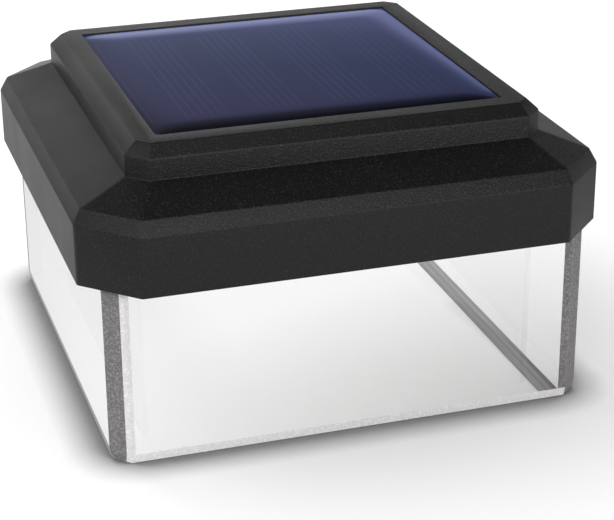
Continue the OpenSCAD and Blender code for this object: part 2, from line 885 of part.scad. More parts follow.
// Choke with a lead at each end, bent down to the board
module inductor() {
    body_r = 1.9;
    body_l = 8;
    body_lift = 0.2;
    lead_r = 0.3;
    lead_at = 6;
    axis_z = board_top_z + body_r + body_lift;
    color([0.2, 0.5, 0.3])
        translate([choke_x, -board_y - choke_y, 0]) {
            translate([-body_l / 2, 0, axis_z])
                rotate([0, 90, 0])
                    cylinder(r = body_r, h = body_l);
            translate([-lead_at, 0, axis_z])
                rotate([0, 90, 0])
                    cylinder(r = lead_r, h = 2 * lead_at);
            for (x = [-1, 1])
                translate([x * lead_at, 0, 0])
                    post(lead_r, board_top_z, axis_z + lead_r);
        }
}

// Upright can on the board
module capacitor() {
    can_r = 2.5;
    can_h = 7;
    color([0.12, 0.14, 0.3])
        translate([-can_x, -board_y + can_y, 0])
            post(can_r, board_top_z, board_top_z + can_h);
}

// Moves the switch's parts to the switch's middle
module at_switch() {
    translate([-switch_x, -board_y - switch_y, 0])
        children();
}

module switch_case() {
    color(tinned)
        at_switch()
            difference() {
                block(switch_l, switch_w, switch_z, board_z);
                block(foot_l + switch_travel + 2 * slider_gap, foot_w + 2 * slider_gap,
                    switch_z + case_floor, board_z - case_roof);
                block(knob_l + switch_travel + 2 * slider_gap, knob_w + 2 * slider_gap,
                    switch_z - cut, switch_z + case_floor + cut);
            }
}

module switch_slider() {
    color(black_plastic)
        at_switch()
            translate([-switch_travel / 2, 0, 0]) {
                block(foot_l, foot_w, switch_z + case_floor + slider_gap,
                    board_z - case_roof - slider_gap);
                block(knob_l, knob_w, tray_z + knob_sink, board_z - case_roof - slider_gap);
            }
}

// Turns a piece at the front to another side: 0 front, 1 right, 2 back, 3 left
module on_side(side) {
    rotate([0, 0, 90 * side])
        translate([0, -light_at, 0])
            children();
}

module light_strip(side) {
    color(white_plastic)
        on_side(side)
            block(strip_l, strip_w, strip_z, strip_top_z);
}

module leds(side) {
    color([0.95, 0.85, 0.45])
        on_side(side)
            for (x = [-led_at, led_at])
                translate([x, 0, 0])
                    block(led_l, led_w, led_z, strip_z);
}

// Point of a smooth curve that starts and ends along the route's own ends
function bend(a, b, c, s) =
    let (p = (a + b) / 2, q = (b + c) / 2)
    (1 - s) * (1 - s) * p + 2 * s * (1 - s) * b + s * s * q;

// Smooth line along a route: straight from each end to the first middle, bent between
function smooth(route) = concat(
    [route[0]],
    [for (i = [1 : len(route) - 2])
        for (k = [0 : wire_steps])
            if (k > 0 || i == 1)
                bend(route[i - 1], route[i], route[i + 1], k / wire_steps)],
    [route[len(route) - 1]]);

function unit(v) = v / norm(v);

// Direction of a line of points at point i
function heading(line, i) =
    let (last = len(line) - 1)
    unit(line[min(i + 1, last)] - line[max(i - 1, 0)]);

// Any direction square to a given one
function square_to(t) = unit(cross(t, abs(t[0]) < 0.7 ? [1, 0, 0] : [0, 1, 0]));

// Sideways directions carried along a line without twist
function carried(line) = [
    for (i = 0, n = square_to(heading(line, 0));
        i < len(line);
        i = i + 1,
        n = i < len(line) ? unit(n - (n * heading(line, i)) * heading(line, i)) : n)
        n];

// Closed round tube along a line of points
module tube(line, r, sides) {
    last = len(line) - 1;
    across = carried(line);
    points = [
        for (i = [0 : last])
            for (k = [0 : sides - 1])
                let (a = 360 * k / sides)
                line[i] + r * (cos(a) * across[i] + sin(a) * cross(heading(line, i), across[i]))];
    skin = [
        for (i = [0 : last - 1])
            for (k = [0 : sides - 1])
                let (a = i * sides + k, b = i * sides + (k + 1) % sides)
                each [[a, a + sides, b], [b, a + sides, b + sides]]];
    start_cap = [[for (k = [0 : sides - 1]) k]];
    end_cap = [[for (k = [sides - 1 : -1 : 0]) last * sides + k]];
    polyhedron(points = points, faces = concat(skin, start_cap, end_cap));
}

module wire(route, tint, turn = 0) {
    color(tint)
        rotate([0, 0, turn])
            tube(smooth(route), wire_d / 2, wire_sides);
}

cap_shell();
panel_tape();
panel_board();
solar_cell(0);  // solar_cell_1
solar_cell(1);  // solar_cell_2
solar_cell(2);  // solar_cell_3
solar_cell(3);  // solar_cell_4
cell_ribbons();
panel_resin();
clear_skirt();
skirt_gasket();
base_tray();
cap_screws();
battery();
contact_spring();
contact_plate();
battery_door();
door_seal();
door_screws();
main_board();
board_screws();
driver_chip();
inductor();
capacitor();
switch_case();
switch_slider();
light_strip(0);  // light_strip_front
light_strip(1);  // light_strip_right
light_strip(2);  // light_strip_back
light_strip(3);  // light_strip_left
leds(0);  // leds_front
leds(1);  // leds_right
leds(2);  // leds_back
leds(3);  // leds_left
wire(panel_route(1), red_wire);  // panel_wire_red
wire(panel_route(-1), black_wire);  // panel_wire_black
wire(battery_route(1), red_wire);  // battery_wire_red
wire(battery_route(-1), black_wire);  // battery_wire_black
wire(feed_route(1), red_wire);  // feed_wire_red
wire(feed_route(-1), black_wire);  // feed_wire_black
wire(corner_route(1), red_wire);  // corner_wire_red_1
wire(corner_route(1), red_wire, 90);  // corner_wire_red_2
wire(corner_route(1), red_wire, 180);  // corner_wire_red_3
wire(corner_route(-1), black_wire);  // corner_wire_black_1
wire(corner_route(-1), black_wire, 90);  // corner_wire_black_2
wire(corner_route(-1), black_wire, 180);  // corner_wire_black_3
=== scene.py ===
import math

import bmesh
import bpy
import numpy as np
from mathutils import Matrix, Vector


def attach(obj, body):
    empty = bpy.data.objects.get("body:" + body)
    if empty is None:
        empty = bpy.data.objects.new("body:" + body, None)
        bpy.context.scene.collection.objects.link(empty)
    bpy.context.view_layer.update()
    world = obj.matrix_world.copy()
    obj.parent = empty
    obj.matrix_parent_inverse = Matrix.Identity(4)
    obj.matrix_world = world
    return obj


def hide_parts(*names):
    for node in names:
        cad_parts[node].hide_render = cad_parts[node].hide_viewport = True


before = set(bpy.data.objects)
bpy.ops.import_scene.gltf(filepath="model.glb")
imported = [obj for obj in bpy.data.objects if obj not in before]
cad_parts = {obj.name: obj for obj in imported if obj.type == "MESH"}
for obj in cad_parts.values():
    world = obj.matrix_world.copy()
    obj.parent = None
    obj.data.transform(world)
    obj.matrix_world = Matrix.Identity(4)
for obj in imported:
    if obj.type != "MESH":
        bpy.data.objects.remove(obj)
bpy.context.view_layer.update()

mm = 0.001
scene = bpy.context.scene


def srgb(hexText):
    # sRGB hex to linear RGBA: under 0.04045 divided by 12.92, else ((c + 0.055) / 1.055) to the 2.4
    parts = [int(hexText[i:i + 2], 16) / 255 for i in (1, 3, 5)]
    linear = [c / 12.92 if c <= 0.04045 else ((c + 0.055) / 1.055) ** 2.4 for c in parts]
    return (*linear, 1.0)


def add(tree, kind, settings=None, inputs=None):
    # One node with its settings. An input given as a socket is linked, anything else is set
    node = tree.nodes.new(kind)
    for name, value in (settings or {}).items():
        setattr(node, name, value)
    for name, value in (inputs or {}).items():
        if isinstance(value, bpy.types.NodeSocket):
            tree.links.new(value, node.inputs[name])
        else:
            node.inputs[name].default_value = value
    return node


def newMaterial(name):
    material = bpy.data.materials.new(name)
    material.use_nodes = True
    material.node_tree.nodes.clear()
    return material, material.node_tree


def toOutput(tree, shader):
    add(tree, "ShaderNodeOutputMaterial", None, {"Surface": shader})


def finished(material, tree, inputs):
    # One principled surface, straight to the output
    toOutput(tree, add(tree, "ShaderNodeBsdfPrincipled", None, inputs).outputs[0])
    return material


def pointInMm(tree, stretch=(1, 1, 1)):
    # Object coordinates in millimetres, stretched along each axis
    coords = add(tree, "ShaderNodeTexCoord")
    return add(tree, "ShaderNodeMapping", None, {
        "Vector": coords.outputs["Object"],
        "Scale": tuple(s / mm for s in stretch)}).outputs["Vector"]


def noise(tree, point, perMm, detail=2.0):
    return add(tree, "ShaderNodeTexNoise", None, {
        "Vector": point, "Scale": perMm, "Detail": detail}).outputs["Fac"]


def remap(tree, value, low, high, start, end):
    return add(tree, "ShaderNodeMapRange", None, {
        "Value": value, "From Min": low, "From Max": high,
        "To Min": start, "To Max": end}).outputs["Result"]


def spread(tree, value, start, end):
    # Most of a noise lies between 0.3 and 0.7, and these go to start and end
    return remap(tree, value, 0.3, 0.7, start, end)


def mixColour(tree, share, first, second):
    return add(tree, "ShaderNodeMix", {"data_type": "RGBA"}, {
        0: share, 6: first, 7: second}).outputs[2]


def mixNumber(tree, share, first, second):
    return add(tree, "ShaderNodeMix", {"data_type": "FLOAT"}, {
        0: share, 2: first, 3: second}).outputs[0]


def calc(tree, operation, a, b=0.0, c=0.0):
    return add(tree, "ShaderNodeMath", {"operation": operation}, {0: a, 1: b, 2: c}).outputs[0]


def bump(tree, height, depthMm, strength=1.0):
    return add(tree, "ShaderNodeBump", None, {
        "Height": height, "Distance": depthMm * mm, "Strength": strength}).outputs["Normal"]


# The camera, solved from 40 corners of the cap, the panel and the skirt's foot in the photo.
# Angles in degrees, lengths in mm
photoCamera = {
    "imageWidth": 614,
    "focalPixels": 1851.7,
    "sensorWidth": 36,
    "azimuth": -17.418,
    "elevation": 23.252,
    "roll": -0.426,
    "distance": 449.28,
    "shiftRight": 5.919,
    "shiftUp": -21.392,
    "target": (0, 0, 42.0),
    "clipStart": 10,
}


def makeCamera(c):
    # Back points from the target to the camera, and the roll turns right and up about it
    az, el, roll = (math.radians(c[k]) for k in ("azimuth", "elevation", "roll"))
    back = Vector((math.sin(az) * math.cos(el), -math.cos(az) * math.cos(el), math.sin(el)))
    right = Vector((math.cos(az), math.sin(az), 0))
    up = back.cross(right)
    place = Vector(c["target"]) + back * c["distance"] + right * c["shiftRight"] + up * c["shiftUp"]
    turnedRight = right * math.cos(roll) + up * math.sin(roll)
    turnedUp = up * math.cos(roll) - right * math.sin(roll)
    data = bpy.data.cameras.new("photoCamera")
    data.sensor_width = c["sensorWidth"]
    data.lens = c["focalPixels"] * data.sensor_width / c["imageWidth"]
    data.clip_start = c["clipStart"] * mm
    camera = bpy.data.objects.new("photoCamera", data)
    scene.collection.objects.link(camera)
    camera.matrix_world = Matrix.Translation(place * mm) @ Matrix(
        (turnedRight, turnedUp, back)).transposed().to_4x4()
    scene.camera = camera


makeCamera(photoCamera)
print("camera made")

# How near two corners merge, in m, and how flat two faces join, in degrees
merging = {"made": 1e-7, "thin": 1e-8, "cad": 2e-6, "flat": 0.6}


def gridQuads(rows, columns, closed=False):
    # Corner numbers of every cell of a rows by columns grid. Closed: the last column joins
    # the first
    r, c = np.meshgrid(np.arange(rows - 1), np.arange(columns if closed else columns - 1),
                       indexing="ij")
    r2, c2 = r + 1, (c + 1) % columns
    return np.stack([r * columns + c, r * columns + c2, r2 * columns + c2, r2 * columns + c],
                    -1).reshape(-1, 4)


def outward(mesh):
    # Merges doubles, drops flat faces and turns every face outwards
    bm = bmesh.new()
    bm.from_mesh(mesh)
    bmesh.ops.remove_doubles(bm, verts=bm.verts, dist=merging["made"])
    bmesh.ops.dissolve_degenerate(bm, edges=bm.edges, dist=merging["thin"])
    bmesh.ops.recalc_face_normals(bm, faces=bm.faces)
    bm.to_mesh(mesh)
    bm.free()


def place(mesh, name, body, slot, *replaced):
    piece = bpy.data.objects.new(name, mesh)
    scene.collection.objects.link(piece)
    mesh.shade_smooth()
    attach(piece, body)
    if replaced:
        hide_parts(*replaced)
    return piece


def paint(piece, *materials):
    # Clearing an empty list would set every face back to the first material
    if piece.data.materials:
        piece.data.materials.clear()
    for material in materials:
        piece.data.materials.append(material)


def cadCopy(node):
    # A CAD node's loose triangles, merged and with its flat faces made whole
    bm = bmesh.new()
    bm.from_mesh(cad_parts[node].data)
    bmesh.ops.remove_doubles(bm, verts=bm.verts, dist=merging["cad"])
    bmesh.ops.dissolve_limit(bm, angle_limit=math.radians(merging["flat"]), verts=bm.verts,
                             edges=bm.edges)
    return bm


def toMesh(bm, name):
    mesh = bpy.data.meshes.new(name)
    bm.to_mesh(mesh)
    bm.free()
    return mesh


def softEdges(piece, widthMm, angle=32):
    # Moulded and stamped parts have no knife edges: a small round on every real edge
    modifier = piece.modifiers.new("soft edges", "BEVEL")
    modifier.width = widthMm * mm
    modifier.segments = 2
    modifier.limit_method = "ANGLE"
    modifier.angle_limit = math.radians(angle)
    modifier.harden_normals = True
    modifier.use_clamp_overlap = True
    return modifier


def softCopy(node, name, body, slot, widthMm):
    piece = place(toMesh(cadCopy(node), name), name, body, slot, node)
    softEdges(piece, widthMm)
    return piece


def tube(route, radius, sides=12):
    # Points on circles carried along the route: p + r (cos a n + sin a (t x n)), where t is
    # the route's heading and n is turned with it from point to point, closed by two fans
    t = np.gradient(route, axis=0)
    t /= np.linalg.norm(t, axis=1, keepdims=True)
    n = np.zeros_like(route)
    first = np.cross(t[0], (1, 0, 0) if abs(t[0][0]) < 0.7 else (0, 1, 0))
    n[0] = first / np.linalg.norm(first)
    for i in range(1, len(route)):
        step = n[i - 1] - t[i] * (n[i - 1] @ t[i])
        n[i] = step / np.linalg.norm(step)
    b = np.cross(t, n)
    a = np.arange(sides) * 2 * math.pi / sides
    rings = (route[:, None] + radius * (np.cos(a)[None, :, None] * n[:, None]
                                        + np.sin(a)[None, :, None] * b[:, None]))
    last = len(route) * sides
    k = np.arange(sides)
    k2 = (k + 1) % sides
    start = np.stack([np.full(sides, last), k2, k], -1)
    end = np.stack([np.full(sides, last + 1), last - sides + k, last - sides + k2], -1)
    points = np.concatenate([rings.reshape(-1, 3), route[:1], route[-1:]])
    quads = gridQuads(len(route), sides, True)
    return points, [*quads.tolist(), *start.tolist(), *end.tolist()]


def turned(profile, sides, axisPoint, axis="z"):
    # A profile of (radius, height) pairs turned round an axis: (r cos a, r sin a, h)
    a = np.arange(sides) * 2 * math.pi / sides
    r, h = profile[:, 0], profile[:, 1]
    x, y = r[:, None] * np.cos(a), r[:, None] * np.sin(a)
    z = np.broadcast_to(h[:, None], x.shape)
    order = {"z": (x, y, z), "x": (z, x, y)}[axis]
    points = np.stack(order, -1) + np.asarray(axisPoint, float)
    return points, gridQuads(len(profile), sides, True)


# Materials
def blackAbs():
    # Black moulded ABS with a fine spark-eroded grain, drawn at 0.4 mm so that it shows. It
    # looks soft black, with a dull sheen that goes grey where it faces a light. The light spots
    # in its base colour are painted glints of the grain
    settings = {"dark": "#131314", "light": "#363637", "grainMm": 0.4, "depthMm": 0.13,
                "paintedGlints": (0.56, 0.75)}
    material, tree = newMaterial("moulded black ABS")
    point = pointInMm(tree)
    grain = noise(tree, point, 1 / settings["grainMm"], 3)
    patches = noise(tree, point, 0.05, 3)
    # Painted glints: light spots mixed into the base colour
    colour = mixColour(tree, remap(tree, grain, *settings["paintedGlints"], 0, 1),
                       srgb(settings["dark"]), srgb(settings["light"]))
    return finished(material, tree, {
        "Base Color": colour, "Specular IOR Level": 0.33, "IOR": 1.53,
        "Roughness": spread(tree, patches, 0.34, 0.4),
        "Normal": bump(tree, grain, settings["depthMm"])})


def clearAcrylic(name, straightShare):
    # Clear moulded acrylic. Most light goes straight on, because the photo's flat panes show
    # no refraction, and the rest bends and mirrors as in solid acrylic
    material, tree = newMaterial(name)
    waves = noise(tree, pointInMm(tree), 0.06, 2)
    glass = add(tree, "ShaderNodeBsdfPrincipled", None, {
        "Base Color": srgb("#fdfdfd"), "Transmission Weight": 1.0, "IOR": 1.49,
        "Roughness": spread(tree, waves, 0.0, 0.03),
        "Normal": bump(tree, waves, 0.05, 0.1)})
    straight = add(tree, "ShaderNodeBsdfTransparent")
    both = add(tree, "ShaderNodeMixShader", None, {
        0: straightShare, 1: glass.outputs[0], 2: straight.outputs[0]})
    path = add(tree, "ShaderNodeLightPath")
    lit = add(tree, "ShaderNodeMixShader", None, {
        0: path.outputs["Is Shadow Ray"], 1: both.outputs[0], 2: straight.outputs[0]})
    toOutput(tree, lit.outputs[0])
    return material


def groundAcrylic(name, dark, light, grainMm, share, lineMm=0.0):
    # Acrylic left with the mould's ground, frosted finish. Each grain gets its own tone between
    # the dark and the light colour, at random, in the base colour: painted glints that make the
    # face sparkle, and a share of the light comes through it. Where the mould was ground one way,
    # along Y, fine lines take the place of the grains
    material, tree = newMaterial(name)
    point = pointInMm(tree)
    grain = add(tree, "ShaderNodeTexVoronoi", None, {"Vector": point, "Scale": 1 / grainMm})
    cloud = noise(tree, point, 0.5 / grainMm, 3)
    if lineMm:
        lines = noise(tree, pointInMm(tree, (1, 0.01, 1)), 1 / lineMm, 1)
        spark = remap(tree, lines, 0.35, 0.65, 0.0, 1.0)
    else:
        chance = add(tree, "ShaderNodeSeparateColor", None, {"Color": grain.outputs["Color"]})
        spark = calc(tree, "MULTIPLY", calc(tree, "POWER", chance.outputs[0], 2.0),
                     remap(tree, cloud, 0.3, 0.6, 0.4, 1.0))
    surface = add(tree, "ShaderNodeBsdfPrincipled", None, {
        # The base colour carries the painted sparkle
        "Base Color": mixColour(tree, spark, srgb(dark), srgb(light)), "IOR": 1.49,
        "Roughness": spread(tree, cloud, 0.45, 0.65),
        "Normal": bump(tree, grain.outputs["Distance"], 0.06, 0.5)})
    through = add(tree, "ShaderNodeBsdfTranslucent", None, {"Color": srgb(light)})
    both = add(tree, "ShaderNodeMixShader", None, {
        0: share, 1: surface.outputs[0], 2: through.outputs[0]})
    toOutput(tree, both.outputs[0])
    return material


def whiteAbs():
    # White moulded ABS, satin, with a faint even grain drawn at 0.4 mm
    material, tree = newMaterial("moulded white ABS")
    point = pointInMm(tree)
    grain = noise(tree, point, 2.5, 3)
    patches = noise(tree, point, 0.04, 2)
    return finished(material, tree, {
        "Base Color": mixColour(tree, patches, srgb("#dcdcd8"), srgb("#e6e6e3")), "IOR": 1.53,
        "Roughness": spread(tree, grain, 0.38, 0.48),
        "Normal": bump(tree, grain, 0.02, 0.4)})


def metal(name, tint, roughLow, roughHigh):
    # Plated or tinned metal with short fine scratches, 0.15 mm apart, from handling
    material, tree = newMaterial(name)
    fine = noise(tree, pointInMm(tree, (1, 0.15, 1)), 1 / 0.15, 3)
    patches = noise(tree, pointInMm(tree), 0.5, 2)
    bright = mixColour(tree, patches, srgb(tint), srgb("#ffffff"))
    return finished(material, tree, {
        "Base Color": mixColour(tree, 0.15, srgb(tint), bright), "Metallic": 1.0,
        "Roughness": spread(tree, fine, roughLow, roughHigh),
        "Normal": bump(tree, fine, 0.01, 0.4)})


def closedFoam():
    # Black closed-cell foam: matt, with pinholes where its bubbles, drawn at 0.4 mm, were cut. The
    # pinholes are painted darker: painted shade in them
    material, tree = newMaterial("cut closed-cell foam")
    cells = add(tree, "ShaderNodeTexVoronoi", None, {"Vector": pointInMm(tree), "Scale": 2.5})
    hole = remap(tree, cells.outputs["Distance"], 0.0, 0.5, 0.0, 1.0)
    return finished(material, tree, {
        "Base Color": mixColour(tree, hole, srgb("#0d0d0d"), srgb("#2c2c2c")), "IOR": 1.5,
        "Roughness": remap(tree, hole, 0, 1, 0.95, 0.8),
        "Normal": bump(tree, hole, 0.15, 0.6)})


def enamelledBoard(name, mask, track, silk, rails=None):
    # Circuit board under solder mask: tracks show as paler, slightly raised bands under a
    # faint 0.4 mm weave. The main board's run along X in steps, and a strip has two rails
    # along its length, at the given distances in mm from the middle of the light
    railHalf = 0.55
    material, tree = newMaterial(name)
    point = pointInMm(tree)
    if rails:
        parts = add(tree, "ShaderNodeSeparateXYZ", None, {"Vector": point})
        across = calc(tree, "MAXIMUM", *(calc(tree, "ABSOLUTE", parts.outputs[k])
                                         for k in ("X", "Y")))
        tracks = calc(tree, "MAXIMUM", *(calc(tree, "LESS_THAN", calc(
            tree, "ABSOLUTE", calc(tree, "SUBTRACT", across, rail)), railHalf)
            for rail in rails))
    else:
        tracks = add(tree, "ShaderNodeTexBrick", {"offset": 0.35}, {
            "Vector": point, "Scale": 0.4, "Mortar Size": 0.07, "Brick Width": 5.2,
            "Row Height": 0.85, "Color1": (0, 0, 0, 1), "Color2": (0, 0, 0, 1),
            "Mortar": (1, 1, 1, 1)}).outputs["Fac"]
    weave = noise(tree, point, 2.5, 2)
    ground = mixColour(tree, weave, srgb(mask), srgb(silk))
    return finished(material, tree, {
        "Base Color": mixColour(tree, tracks, ground, srgb(track)), "IOR": 1.5,
        "Coat Weight": 0.3, "Roughness": spread(tree, weave, 0.3, 0.42),
        "Normal": bump(tree, tracks, 0.05, 0.5)})


def wireCover(name, tint):
    # Soft PVC wire cover: glossy, with a slight orange-peel of about 0.5 mm
    material, tree = newMaterial(name)
    peel = noise(tree, pointInMm(tree), 2.0, 2)
    return finished(material, tree, {
        "Base Color": mixColour(tree, spread(tree, peel, 0, 0.25), srgb(tint),
                                srgb("#000000")),
        "IOR": 1.53, "Roughness": spread(tree, peel, 0.28, 0.4),
        "Normal": bump(tree, peel, 0.03, 0.3)})


def epoxyBlack():
    # Black moulded epoxy of the driver chip: matt, with a fine grain drawn at 0.25 mm
    material, tree = newMaterial("moulded black epoxy")
    grain = noise(tree, pointInMm(tree), 4.0, 2)
    return finished(material, tree, {
        "Base Color": mixColour(tree, grain, srgb("#141415"), srgb("#242425")), "IOR": 1.55,
        "Roughness": spread(tree, grain, 0.5, 0.65),
        "Normal": bump(tree, grain, 0.02, 0.5)})


def lacquered(name, tint, second, perMm):
    # Dipped lacquer or shrink sleeve over a round body: glossy, with slow colour drift
    material, tree = newMaterial(name)
    drift = noise(tree, pointInMm(tree), perMm, 2)
    colour = mixColour(tree, remap(tree, drift, 0.35, 0.65, 0, 1), srgb(tint), srgb(second))
    return finished(material, tree, {
        "Base Color": colour, "IOR": 1.5, "Coat Weight": 0.4,
        "Roughness": spread(tree, drift, 0.22, 0.35),
        "Normal": bump(tree, drift, 0.05, 0.2)})


# The printed silver fingers, six to a cell, drawn wider than real ones so that they show.
# Lengths in mm
fingers = {"pitch": 17.2, "step": 1.85, "line": 0.3, "group": 5.55, "reach": 31.5}


def fingerLines(tree, point, c):
    # 1 on a finger and 0 between: how far x is from the nearest of six lines about the middle
    # of its cell, faded out past the last line and at the cell's ends
    parts = add(tree, "ShaderNodeSeparateXYZ", None, {"Vector": point})
    cell = calc(tree, "WRAP", parts.outputs["X"], c["pitch"], 0.0)
    across = calc(tree, "ABSOLUTE", calc(tree, "SUBTRACT", cell, c["pitch"] / 2))
    steps = calc(tree, "FRACT", calc(tree, "DIVIDE", across, c["step"]))
    off = calc(tree, "MULTIPLY", calc(tree, "ABSOLUTE", calc(tree, "SUBTRACT", steps, 0.5)),
               c["step"])
    line = remap(tree, off, c["line"] * 0.2, c["line"] * 0.8, 1, 0)
    group = remap(tree, across, c["group"] - 0.1, c["group"] + 0.1, 1, 0)
    along = calc(tree, "ABSOLUTE", parts.outputs["Y"])
    ends = remap(tree, along, c["reach"] - 2, c["reach"] + 0.5, 1, 0)
    return calc(tree, "MULTIPLY", calc(tree, "MULTIPLY", line, group), ends)


def castResin():
    # Clear casting resin over blue cells, read as one deep navy surface with faint fingers.
    # Its sheen and its reflection are painted: a ramp of the base colour by Facing, fitted to the
    # photo's angle, while the shader's own gloss is nearly off, so it pales in lower views and
    # darkens in higher ones. One navy base with a normal specular level is the way to mend it
    settings = {"paintedSheen": [(0.0, "#12173a"), (0.5, "#0c1028"), (0.6, "#03040c"),
                           (0.65, "#0c0e23"), (0.677, "#222443"), (0.704, "#222a4a"),
                           (0.718, "#283253"), (0.728, "#393f66"), (0.745, "#555b84"),
                           (0.79, "#686f98"), (0.83, "#8289b4")],
                "finger": "#666d96", "fingerShare": (0.04, 0.1)}
    material, tree = newMaterial("cast resin over solar cells")
    point = pointInMm(tree)
    turn = add(tree, "ShaderNodeLayerWeight", None, {"Blend": 0.5}).outputs["Facing"]
    tint = add(tree, "ShaderNodeValToRGB", None, {"Fac": turn})
    stops = tint.color_ramp.elements
    for i, (position, colour) in enumerate(settings["paintedSheen"]):
        stop = stops[i] if i < 2 else stops.new(position)
        stop.position = position
        stop.color = srgb(colour)
    cloud = noise(tree, point, 0.05, 3)
    lines = calc(tree, "MULTIPLY", fingerLines(tree, point, fingers),
                 spread(tree, cloud, *settings["fingerShare"]))
    ripple = noise(tree, point, 0.12, 2)
    return finished(material, tree, {
        # The base colour carries the painted sheen and reflection
        "Base Color": mixColour(tree, lines, tint.outputs["Color"], srgb(settings["finger"])),
        "IOR": 1.5, "Specular IOR Level": 0.02,
        "Roughness": spread(tree, cloud, 0.1, 0.16),
        "Normal": bump(tree, ripple, 0.05, 0.1)})


def siliconCell():
    # Blue polycrystalline silicon, in grains of a few millimetres, with printed fingers
    material, tree = newMaterial("printed silicon")
    point = pointInMm(tree)
    finger = fingerLines(tree, point, fingers)
    grain = add(tree, "ShaderNodeTexVoronoi", None, {"Vector": point, "Scale": 0.3})
    base = mixColour(tree, grain.outputs["Color"], srgb("#20264e"), srgb("#2b3263"))
    return finished(material, tree, {
        "Base Color": mixColour(tree, finger, base, srgb("#8d92b0")), "IOR": 1.6,
        "Roughness": remap(tree, grain.outputs["Distance"], 0, 1, 0.35, 0.5),
        "Normal": bump(tree, finger, 0.02, 0.4)})


def navyBoard():
    # Navy solder mask of the panel's board: satin, with the faint weave of the glass cloth
    material, tree = newMaterial("navy solder mask")
    weave = add(tree, "ShaderNodeTexWave", {"wave_profile": "SIN"}, {
        "Vector": pointInMm(tree), "Scale": 0.8, "Distortion": 1.0}).outputs["Fac"]
    return finished(material, tree, {
        "Base Color": mixColour(tree, weave, srgb("#23264a"), srgb("#2a2e55")), "IOR": 1.5,
        "Roughness": remap(tree, weave, 0, 1, 0.35, 0.45),
        "Normal": bump(tree, weave, 0.02, 0.3)})


def ledLens():
    # Yellow phosphor gel over an LED: milky, with soft clouds of about 0.7 mm
    material, tree = newMaterial("phosphor gel")
    cloud = noise(tree, pointInMm(tree), 1.5, 2)
    return finished(material, tree, {
        "Base Color": mixColour(tree, cloud, srgb("#e8c64e"), srgb("#f4e08a")), "IOR": 1.45,
        "Subsurface Weight": 0.2, "Roughness": spread(tree, cloud, 0.2, 0.35),
        "Normal": bump(tree, cloud, 0.05, 0.3)})


black = blackAbs()
clear = clearAcrylic("moulded clear acrylic", 0.92)
# The foot face lets more straight on only because the photo shows no dark line there
clearFoot = clearAcrylic("polished acrylic foot face", 0.985)
# Painted light and shade: the facet's dark grey stands in for the dark cap mirrored inside the
# facets, the foot's near white is a lit copy of one ground face and the ring's grey a shaded copy
groundShaded = groundAcrylic("ground acrylic facet", "#605e5f", "#a8a5a5", 0.28, 0.12)
groundLit = groundAcrylic("ground acrylic foot", "#e2dfdf", "#ffffff", 0.35, 0.2)
groundRing = groundAcrylic("ground acrylic ring", "#888687", "#b2b0b0", 0.5, 0.1, 0.9)
white = whiteAbs()
whiteStrip = enamelledBoard("white strip board", "#e0e0dc", "#cfcfc9", "#e8e8e6",
                            (49.7, 52.3))
greenBoard = enamelledBoard("green circuit board", "#14512c", "#1d6a3b", "#185a32")
steel = metal("nickel-plated steel", "#c4c4c6", 0.22, 0.4)
tin = metal("tinned steel", "#b9babc", 0.25, 0.45)
foam = closedFoam()
redCover = wireCover("red PVC cover", "#b3120f")
blackCover = wireCover("black PVC cover", "#141414")
chipBlack = epoxyBlack()
chokeGreen = lacquered("dipped green lacquer", "#2c6b45", "#367a51", 0.6)
sleeveGreen = lacquered("green shrink sleeve", "#1f7a45", "#24854d", 0.15)
canBlue = lacquered("blue shrink sleeve", "#1b2350", "#222b5e", 0.2)
resin = castResin()
silicon = siliconCell()
navy = navyBoard()
phosphor = ledLens()
solderTin = metal("solder", "#c9cacd", 0.18, 0.3)
print("materials made")

# The cap shell, a copy of the CAD node with its moulded edges rounded. Lengths in mm
capShell = {
    "brimEdge": 1.5,   # the eight upright edges of the brim
    "slopeEdge": 1.2,  # the corner edges of the bevel and the slope
    "frameEdge": 0.7,  # between the frame's band and bevel
    "otherEdge": 0.4,
    "near": 0.02,      # how near to a level a corner counts as on it
    "realEdge": 12,    # degrees: flatter edges stay as they are
    # Height and half width of the outer levels: brim's foot, bevel, slope, frame's foot,
    # frame's band and top
    "levels": [(40.8, 60.0), (54.4, 60.0), (57.7, 58.25), (61.9, 47.4), (66.7, 47.4),
               (69.3, 44.65)],
}


def makeCapShell(c):
    brimFoot, frameFoot, bandTop = 0, 3, 4
    bm = cadCopy("cap_shell")
    weight = bm.edges.layers.float.new("bevel_weight_edge")

    def level(v):
        # Number of the outer level that a corner lies on, or -1 for the hollow's corners
        wide, high = max(abs(v.co.x), abs(v.co.y)) / mm, v.co.z / mm
        for i, (height, half) in enumerate(c["levels"]):
            if abs(high - height) < c["near"] and abs(wide - half) < c["near"]:
                return i
        return -1

    for edge in bm.edges:
        if len(edge.link_faces) != 2 or edge.calc_face_angle(0) < math.radians(c["realEdge"]):
            continue
        low, high = sorted(level(v) for v in edge.verts)
        upright = low >= 0 and low != high
        if upright and low == brimFoot:
            width = c["brimEdge"]
        elif upright and high <= frameFoot:
            width = c["slopeEdge"]
        elif low == high == bandTop:
            width = c["frameEdge"]
        else:
            width = c["otherEdge"]
        edge[weight] = width / c["brimEdge"]
    name = "cap_shell_rounded"
    piece = place(toMesh(bm, name), name, "housing", "black_abs", "cap_shell")
    modifier = piece.modifiers.new("moulded edges", "BEVEL")
    modifier.width = c["brimEdge"] * mm
    modifier.segments = 3
    modifier.limit_method = "WEIGHT"
    modifier.harden_normals = True
    modifier.use_clamp_overlap = True
    paint(piece, black)


makeCapShell(capShell)
print("cap shell made")

